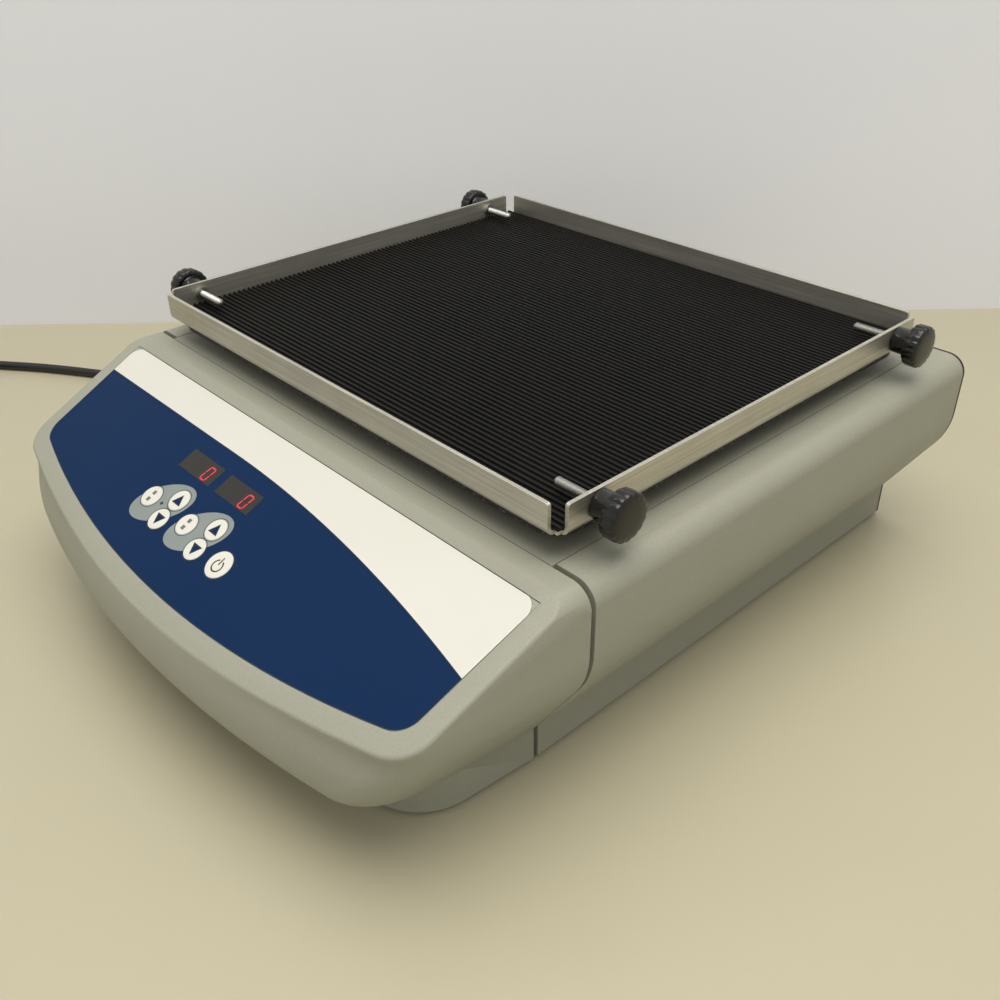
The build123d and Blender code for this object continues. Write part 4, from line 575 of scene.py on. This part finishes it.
def ovalOutline(longHalf, shortHalf, tilt, steps=64):
    turn = math.radians(tilt)
    points = []
    for k in range(steps):
        a = 2 * math.pi * k / steps
        x, y = longHalf * math.cos(a), shortHalf * math.sin(a)
        points.append((x * math.cos(turn) - y * math.sin(turn), x * math.sin(turn) + y * math.cos(turn)))
    return points


for name in ("speed", "time"):
    place = keyGroups[name]
    outline = ovalOutline(keyGroups["long"], keyGroups["short"], keyGroups["tilt"])
    flatPrint(name + "KeyField", outline, "filmGrey", "case", place["across"], place["drop"],
              printLift["keyField"])

# printed keys: place across and down the slope, radius, and what is printed on each
keyTop = 0.505    # just above the cap's own face, 0.5 mm up
keyPrints = {
    "speed_mode_key": (-52.6, 71.9, 6.2, "squares"), "speed_up_key": (-34.0, 65.0, 6.2, "up"),
    "speed_down_key": (-34.5, 78.6, 6.2, "down"), "time_mode_key": (-16.0, 71.9, 6.2, "squares"),
    "time_up_key": (2.6, 65.0, 6.2, "up"), "time_down_key": (2.1, 78.6, 6.2, "down"),
    "standby_key": (22.5, 76.8, 7.6, "standby"),
}
triangle = {"half": 3.7, "tall": 6.3, "below": 0.42, "above": 0.58, "fill": 0.72}
smallSquare = {"size": 2.4, "apart": 2.2}
standbyMark = {"ring": 3.2, "stroke": 0.8, "gap": 24.0, "stemFrom": 0.6, "stemTo": 5.0, "lower": 0.9}
keyEdge = {"gap": 0.4, "width": 0.35}
inkThick = 0.02


def ringPart(radius, stroke, start, end, steps=40):
    outer = arc(0, 0, radius + stroke / 2, start, end, steps)
    inner = arc(0, 0, radius - stroke / 2, start, end, steps)
    return outer + inner[::-1]


for key, (across, drop, radius, sign) in keyPrints.items():
    body = key + "_cap"
    ring = arc(0, 0, radius + keyEdge["gap"], 0, 354, 59)
    bandPrint(key + "Edge", ring, keyEdge["width"], "inkNavy", across, drop, printLift["keyEdge"])
    if sign in ("up", "down"):
        way = 1 if sign == "up" else -1
        half = triangle["half"]
        foot = -way * triangle["tall"] * triangle["below"]
        tip = way * triangle["tall"] * triangle["above"]
        outline = [(-half, foot), (half, foot), (0, tip)]
        flatPrint(key + "Arrow", outline, "inkNavy", body, across, drop, keyTop, inkThick)
        inner = [(x * triangle["fill"], y * triangle["fill"]) for x, y in outline]
        flatPrint(key + "ArrowFill", inner, "filmBlue", body, across, drop, keyTop + inkThick, 0.01)
    elif sign == "squares":
        for k in (-1, 1):
            half = smallSquare["size"] / 2
            outline = [(-half, -half), (half, -half), (half, half), (-half, half)]
            flatPrint(key + ("IconLow" if k < 0 else "IconHigh"), outline, "inkGrey", body, across,
                      drop - k * smallSquare["apart"], keyTop, inkThick)
    else:
        mark = standbyMark
        low = drop + mark["lower"]
        openRing = ringPart(mark["ring"], mark["stroke"], 90 + mark["gap"], 450 - mark["gap"])
        flatPrint(key + "Ring", openRing, "inkNavy", body, across, low, keyTop, inkThick)
        half = mark["stroke"] / 2
        foot, head = mark["stemFrom"], mark["stemTo"]
        stem = [(-half, foot), (half, foot), (half, head), (-half, head)]
        flatPrint(key + "Stem", stem, "inkNavy", body, across, low, keyTop + 0.001, inkThick)

dots = {"statusDot": (-42.5, 71.6, 1.0), "sensorDot": (31.9, 72.2, 0.5)}    # across, down, radius
for name, (across, drop, radius) in dots.items():
    flatPrint(name, arc(0, 0, radius, 0, 345, 23), "inkNavy", "case", across, drop, printLift["dot"])

# display windows and their lit digits
display = {
    "across": (-41.8, -5.1), "drop": 44.5, "wide": 30.3, "high": 12.3, "digit": 8.2, "digitWide": 4.3,
    "bar": 0.8, "split": 0.35, "lean": 8.0, "place": 7.6, "lower": 0.9,
}


def barOutline(length, thick):
    half, t = length / 2, thick / 2
    return [(-half, 0), (-half + t, t), (half - t, t), (half, 0), (half - t, -t), (-half + t, -t)]


def digitBars():
    # the six bars of a nought, leaning a little to the right
    wide, tall, bar = display["digitWide"], display["digit"], display["bar"]
    lean = math.tan(math.radians(display["lean"]))
    bars = []
    for y in (tall / 2, -tall / 2):
        bars.append([(px + lean * y, py + y) for px, py in barOutline(wide - display["split"], bar)])
    for x in (-wide / 2, wide / 2):
        for y in (tall / 4, -tall / 4):
            upright = [(-py, px) for px, py in barOutline(tall / 2 - display["split"], bar)]
            bars.append([(px + x + lean * (py + y), py + y) for px, py in upright])
    return bars


for k, across in enumerate(display["across"]):
    half, tall = display["wide"] / 2, display["high"] / 2
    pane = [(-half, -tall), (half, -tall), (half, tall), (-half, tall)]
    flatPrint("displayPane%d" % (k + 1), pane, "windowTint", "case", across, display["drop"],
              printLift["pane"], 0.04)
    for n, outline in enumerate(digitBars()):
        flatPrint("displayBar%d%d" % (k + 1, n + 1), outline, "ledRed", "case", across + display["place"],
                  display["drop"] + display["lower"], printLift["digit"], 0.01)
print("control panel printed")

# fluted clamp knobs and threaded studs; each is made along Z, then laid along its clamp's axis
knob = {
    "radius": 11.4, "head": 7.6, "flutes": 16, "depth": 0.8, "land": 0.45,
    "pointsPerFlute": 9,
    "face": [(0.8, 0.975), (0.5, 0.93), (0.35, 0.86), (0.25, 0.74), (0.15, 0.5)],    # rise, shrink
    "back": [(-0.7, 0.96), (-0.5, 0.88)],
    "hubSteps": [(0.0, 7.8), (-0.8, 7.2), (-7.5, 6.9), (-0.5, 6.4)],    # rise, radius
}
stud = {
    "radius": 2.4, "root": 1.95, "core": 1.98, "pitch": 1.058, "from": 140.0, "threadTo": 161.2, "end": 177.3,
    "tip": 0.9, "tipSteps": [(0.35, 1.5), (0.5, 1.98)], "threadStart": 0.9, "flank": 0.46, "sunk": 0.05,
    "turnSteps": 20,
}
clamp = {"flange": 165.3, "height": 143.0, "ys": {"front": -73.5, "rear": 162.5}}


def alongAxis(side, y):
    # Z of the piece becomes the outward direction of its side
    turn = Matrix.Rotation(math.radians(90 * side), 4, "Y")
    return Matrix.Translation(Vector((0, y, clamp["height"])) * mm) @ turn


def growLoop(bm, loop, rise, shrink=1.0, radius=None):
    # extrudes an open edge loop along the axis, scaled or brought to a radius
    grown = bmesh.ops.extrude_edge_only(bm, edges=loop)["geom"]
    verts = [g for g in grown if isinstance(g, bmesh.types.BMVert)]
    bmesh.ops.translate(bm, vec=(0, 0, rise * mm), verts=verts)
    bmesh.ops.scale(bm, vec=(shrink, shrink, 1), verts=verts)
    if radius:
        for vert in verts:
            vert.co.xy = vert.co.xy.normalized() * radius * mm
    return [g for g in grown if isinstance(g, bmesh.types.BMEdge) and all(v in verts for v in g.verts)]


def clampKnob(name, side, y, body):
    bm = bmesh.new()
    total = knob["flutes"] * knob["pointsPerFlute"]
    made = bmesh.ops.create_circle(bm, segments=total, radius=1.0)
    for vert in made["verts"]:
        angle = math.atan2(vert.co.y, vert.co.x)
        wave = abs(math.cos(knob["flutes"] * angle / 2)) ** knob["land"]
        radius = knob["radius"] - knob["depth"] * (1 - wave)
        vert.co.xy = vert.co.xy * radius * mm
    rim = bm.edges[:]
    domed = sum(rise for rise, shrink in knob["face"])
    loop = growLoop(bm, rim, knob["head"] - domed)
    for rise, shrink in knob["face"]:
        loop = growLoop(bm, loop, rise, shrink)
    bmesh.ops.edgeloop_fill(bm, edges=loop)
    # back of the head, drawn in to the hub
    loop = rim
    for rise, shrink in knob["back"]:
        loop = growLoop(bm, loop, rise, shrink)
    for rise, radius in knob["hubSteps"]:
        loop = growLoop(bm, loop, rise, radius=radius)
    bmesh.ops.edgeloop_fill(bm, edges=loop)
    lowest = min(v.co.z for v in bm.verts)
    bmesh.ops.translate(bm, vec=(0, 0, clamp["flange"] * mm - lowest), verts=bm.verts)
    bmesh.ops.transform(bm, matrix=alongAxis(side, y), verts=bm.verts)
    piece = pieceFrom(bm, name + "KnobHead", "knobPlastic", body, 40)
    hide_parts(name + "_knob")
    return piece


def clampStud(name, side, y, body):
    bm = bmesh.new()
    # core rod with a rounded point
    made = bmesh.ops.create_circle(bm, segments=32, radius=stud["tip"] * mm, cap_ends=True)
    loop = bm.edges[:]
    bmesh.ops.translate(bm, vec=(0, 0, stud["from"] * mm), verts=made["verts"])
    for rise, radius in stud["tipSteps"]:
        loop = growLoop(bm, loop, rise, radius=radius)
    pointed = sum(rise for rise, radius in stud["tipSteps"])
    loop = growLoop(bm, loop, stud["end"] - stud["from"] - pointed, radius=stud["core"])
    bmesh.ops.edgeloop_fill(bm, edges=loop)
    # one thread ridge, wound round the rod
    start = stud["from"] + stud["threadStart"]
    turns = int((stud["threadTo"] - start) / stud["pitch"])
    flank = stud["pitch"] * stud["flank"]
    foot = stud["root"] - stud["sunk"]
    ridge = [bm.verts.new((r * mm, 0, (start + z) * mm)) for r, z in
             ((foot, -flank), (stud["radius"], 0), (foot, flank))]
    edges = [bm.edges.new((ridge[k - 1], ridge[k])) for k in range(3)]
    bm.faces.new(ridge)
    steps = stud["turnSteps"]
    rise = Vector((0, 0, stud["pitch"] * mm / steps))
    last = bmesh.ops.spin(bm, geom=edges, cent=(0, 0, 0), axis=(0, 0, 1), dvec=rise,
                          angle=2 * math.pi * turns, steps=steps * turns)["geom_last"]
    bmesh.ops.edgeloop_fill(bm, edges=[g for g in last if isinstance(g, bmesh.types.BMEdge)])
    bmesh.ops.transform(bm, matrix=alongAxis(side, y), verts=bm.verts)
    piece = pieceFrom(bm, name + "StudThread", "zincPlate", body, 50)
    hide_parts(name + "_stud")
    return piece


for sideName, side in (("left", -1), ("right", 1)):
    for end, y in clamp["ys"].items():
        name = sideName + "_" + end
        clampKnob(name, side, y, name + "_clamp_knob")
        clampStud(name, side, y, name + "_clamp_stud")
print("clamps made")

# the lead takes the place of its plain tube and coil
mainsLead.data.materials.append(finishes["leadVinyl"])
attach(mainsLead, "case")
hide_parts("power_cord", "power_cord_coil")
print("cord laid")


# Room and light

room = {
    "wall": 0.90, "halfWide": 4, "deep": 5, "tall": 2.5, "floorHex": "#B3AD95", "wallHex": "#E6E8EE",
    "floorRoughness": 0.35, "wallRoughness": 0.6, "cloud": 1000 / 3, "shade": 0.94,
}


def roomPlane(name, corners, hexCode, roughness):
    bm = bmesh.new()
    bm.faces.new([bm.verts.new(c) for c in corners])
    mesh = bpy.data.meshes.new(name)
    bm.to_mesh(mesh)
    bm.free()
    material, tree, shader = newMaterial(name + "Paint", hexCode, roughness)
    point = addNode(tree, "ShaderNodeTexCoord", out="Object")
    size = perMetre(room["cloud"])
    cloud = addNode(tree, "ShaderNodeTexNoise", {"Vector": point, "Scale": size, "Detail": 3.0})
    soft = shaded(hexCode, room["shade"])
    tone = addNode(tree, "ShaderNodeMix", {0: cloud, 6: linear(hexCode), 7: soft}, 2, data_type="RGBA")
    setInputs(tree, shader, {"Base Color": tone})
    mesh.materials.append(material)
    plane = bpy.data.objects.new(name, mesh)
    bpy.context.scene.collection.objects.link(plane)
    return plane


def makeRoom():
    # floor under the object, and a wall square to the view behind it
    ahead = Vector(cameraSetup["forward"]).xy.normalized()
    across = Vector((-ahead.y, ahead.x))
    foot = Vector(cameraSetup["place"]).xy + ahead * room["wall"]
    a, b = foot + across * room["halfWide"], foot - across * room["halfWide"]
    front = -ahead * room["deep"]
    floor = [(*b, 0), (*a, 0), (*(a + front), 0), (*(b + front), 0)]
    wall = [(*b, 0), (*b, room["tall"]), (*a, room["tall"]), (*a, 0)]
    roomPlane("floor", floor, room["floorHex"], room["floorRoughness"])
    roomPlane("wall", wall, room["wallHex"], room["wallRoughness"])


lamps = {
    "window": {"place": (-1.3, -0.2, 1.3), "size": 1.2, "power": 36, "hex": "#F4F6FF"},
    "ceiling": {"place": (0.3, -0.1, 1.9), "size": 1.8, "power": 32, "hex": "#FFFAF0"},
}
aimHeight = 0.08
sky = {"hex": "#F2F1EC", "strength": 0.80}


def makeLamps():
    for name, lamp in lamps.items():
        data = bpy.data.lights.new(name, "AREA")
        data.shape = "DISK"
        data.size = lamp["size"]
        data.energy = lamp["power"]
        data.color = linear(lamp["hex"])[:3]
        light = bpy.data.objects.new(name, data)
        bpy.context.scene.collection.objects.link(light)
        aim = Vector((0, 0, aimHeight)) - Vector(lamp["place"])
        turn = aim.to_track_quat("-Z", "Y").to_matrix().to_4x4()
        light.matrix_world = Matrix.Translation(lamp["place"]) @ turn
    world = bpy.data.worlds.new("studio")
    world.use_nodes = True
    background = world.node_tree.nodes["Background"]
    background.inputs["Color"].default_value = linear(sky["hex"])
    background.inputs["Strength"].default_value = sky["strength"]
    bpy.context.scene.world = world


makeRoom()
makeLamps()
bpy.context.scene.view_settings.view_transform = "Standard"
print("room lit")
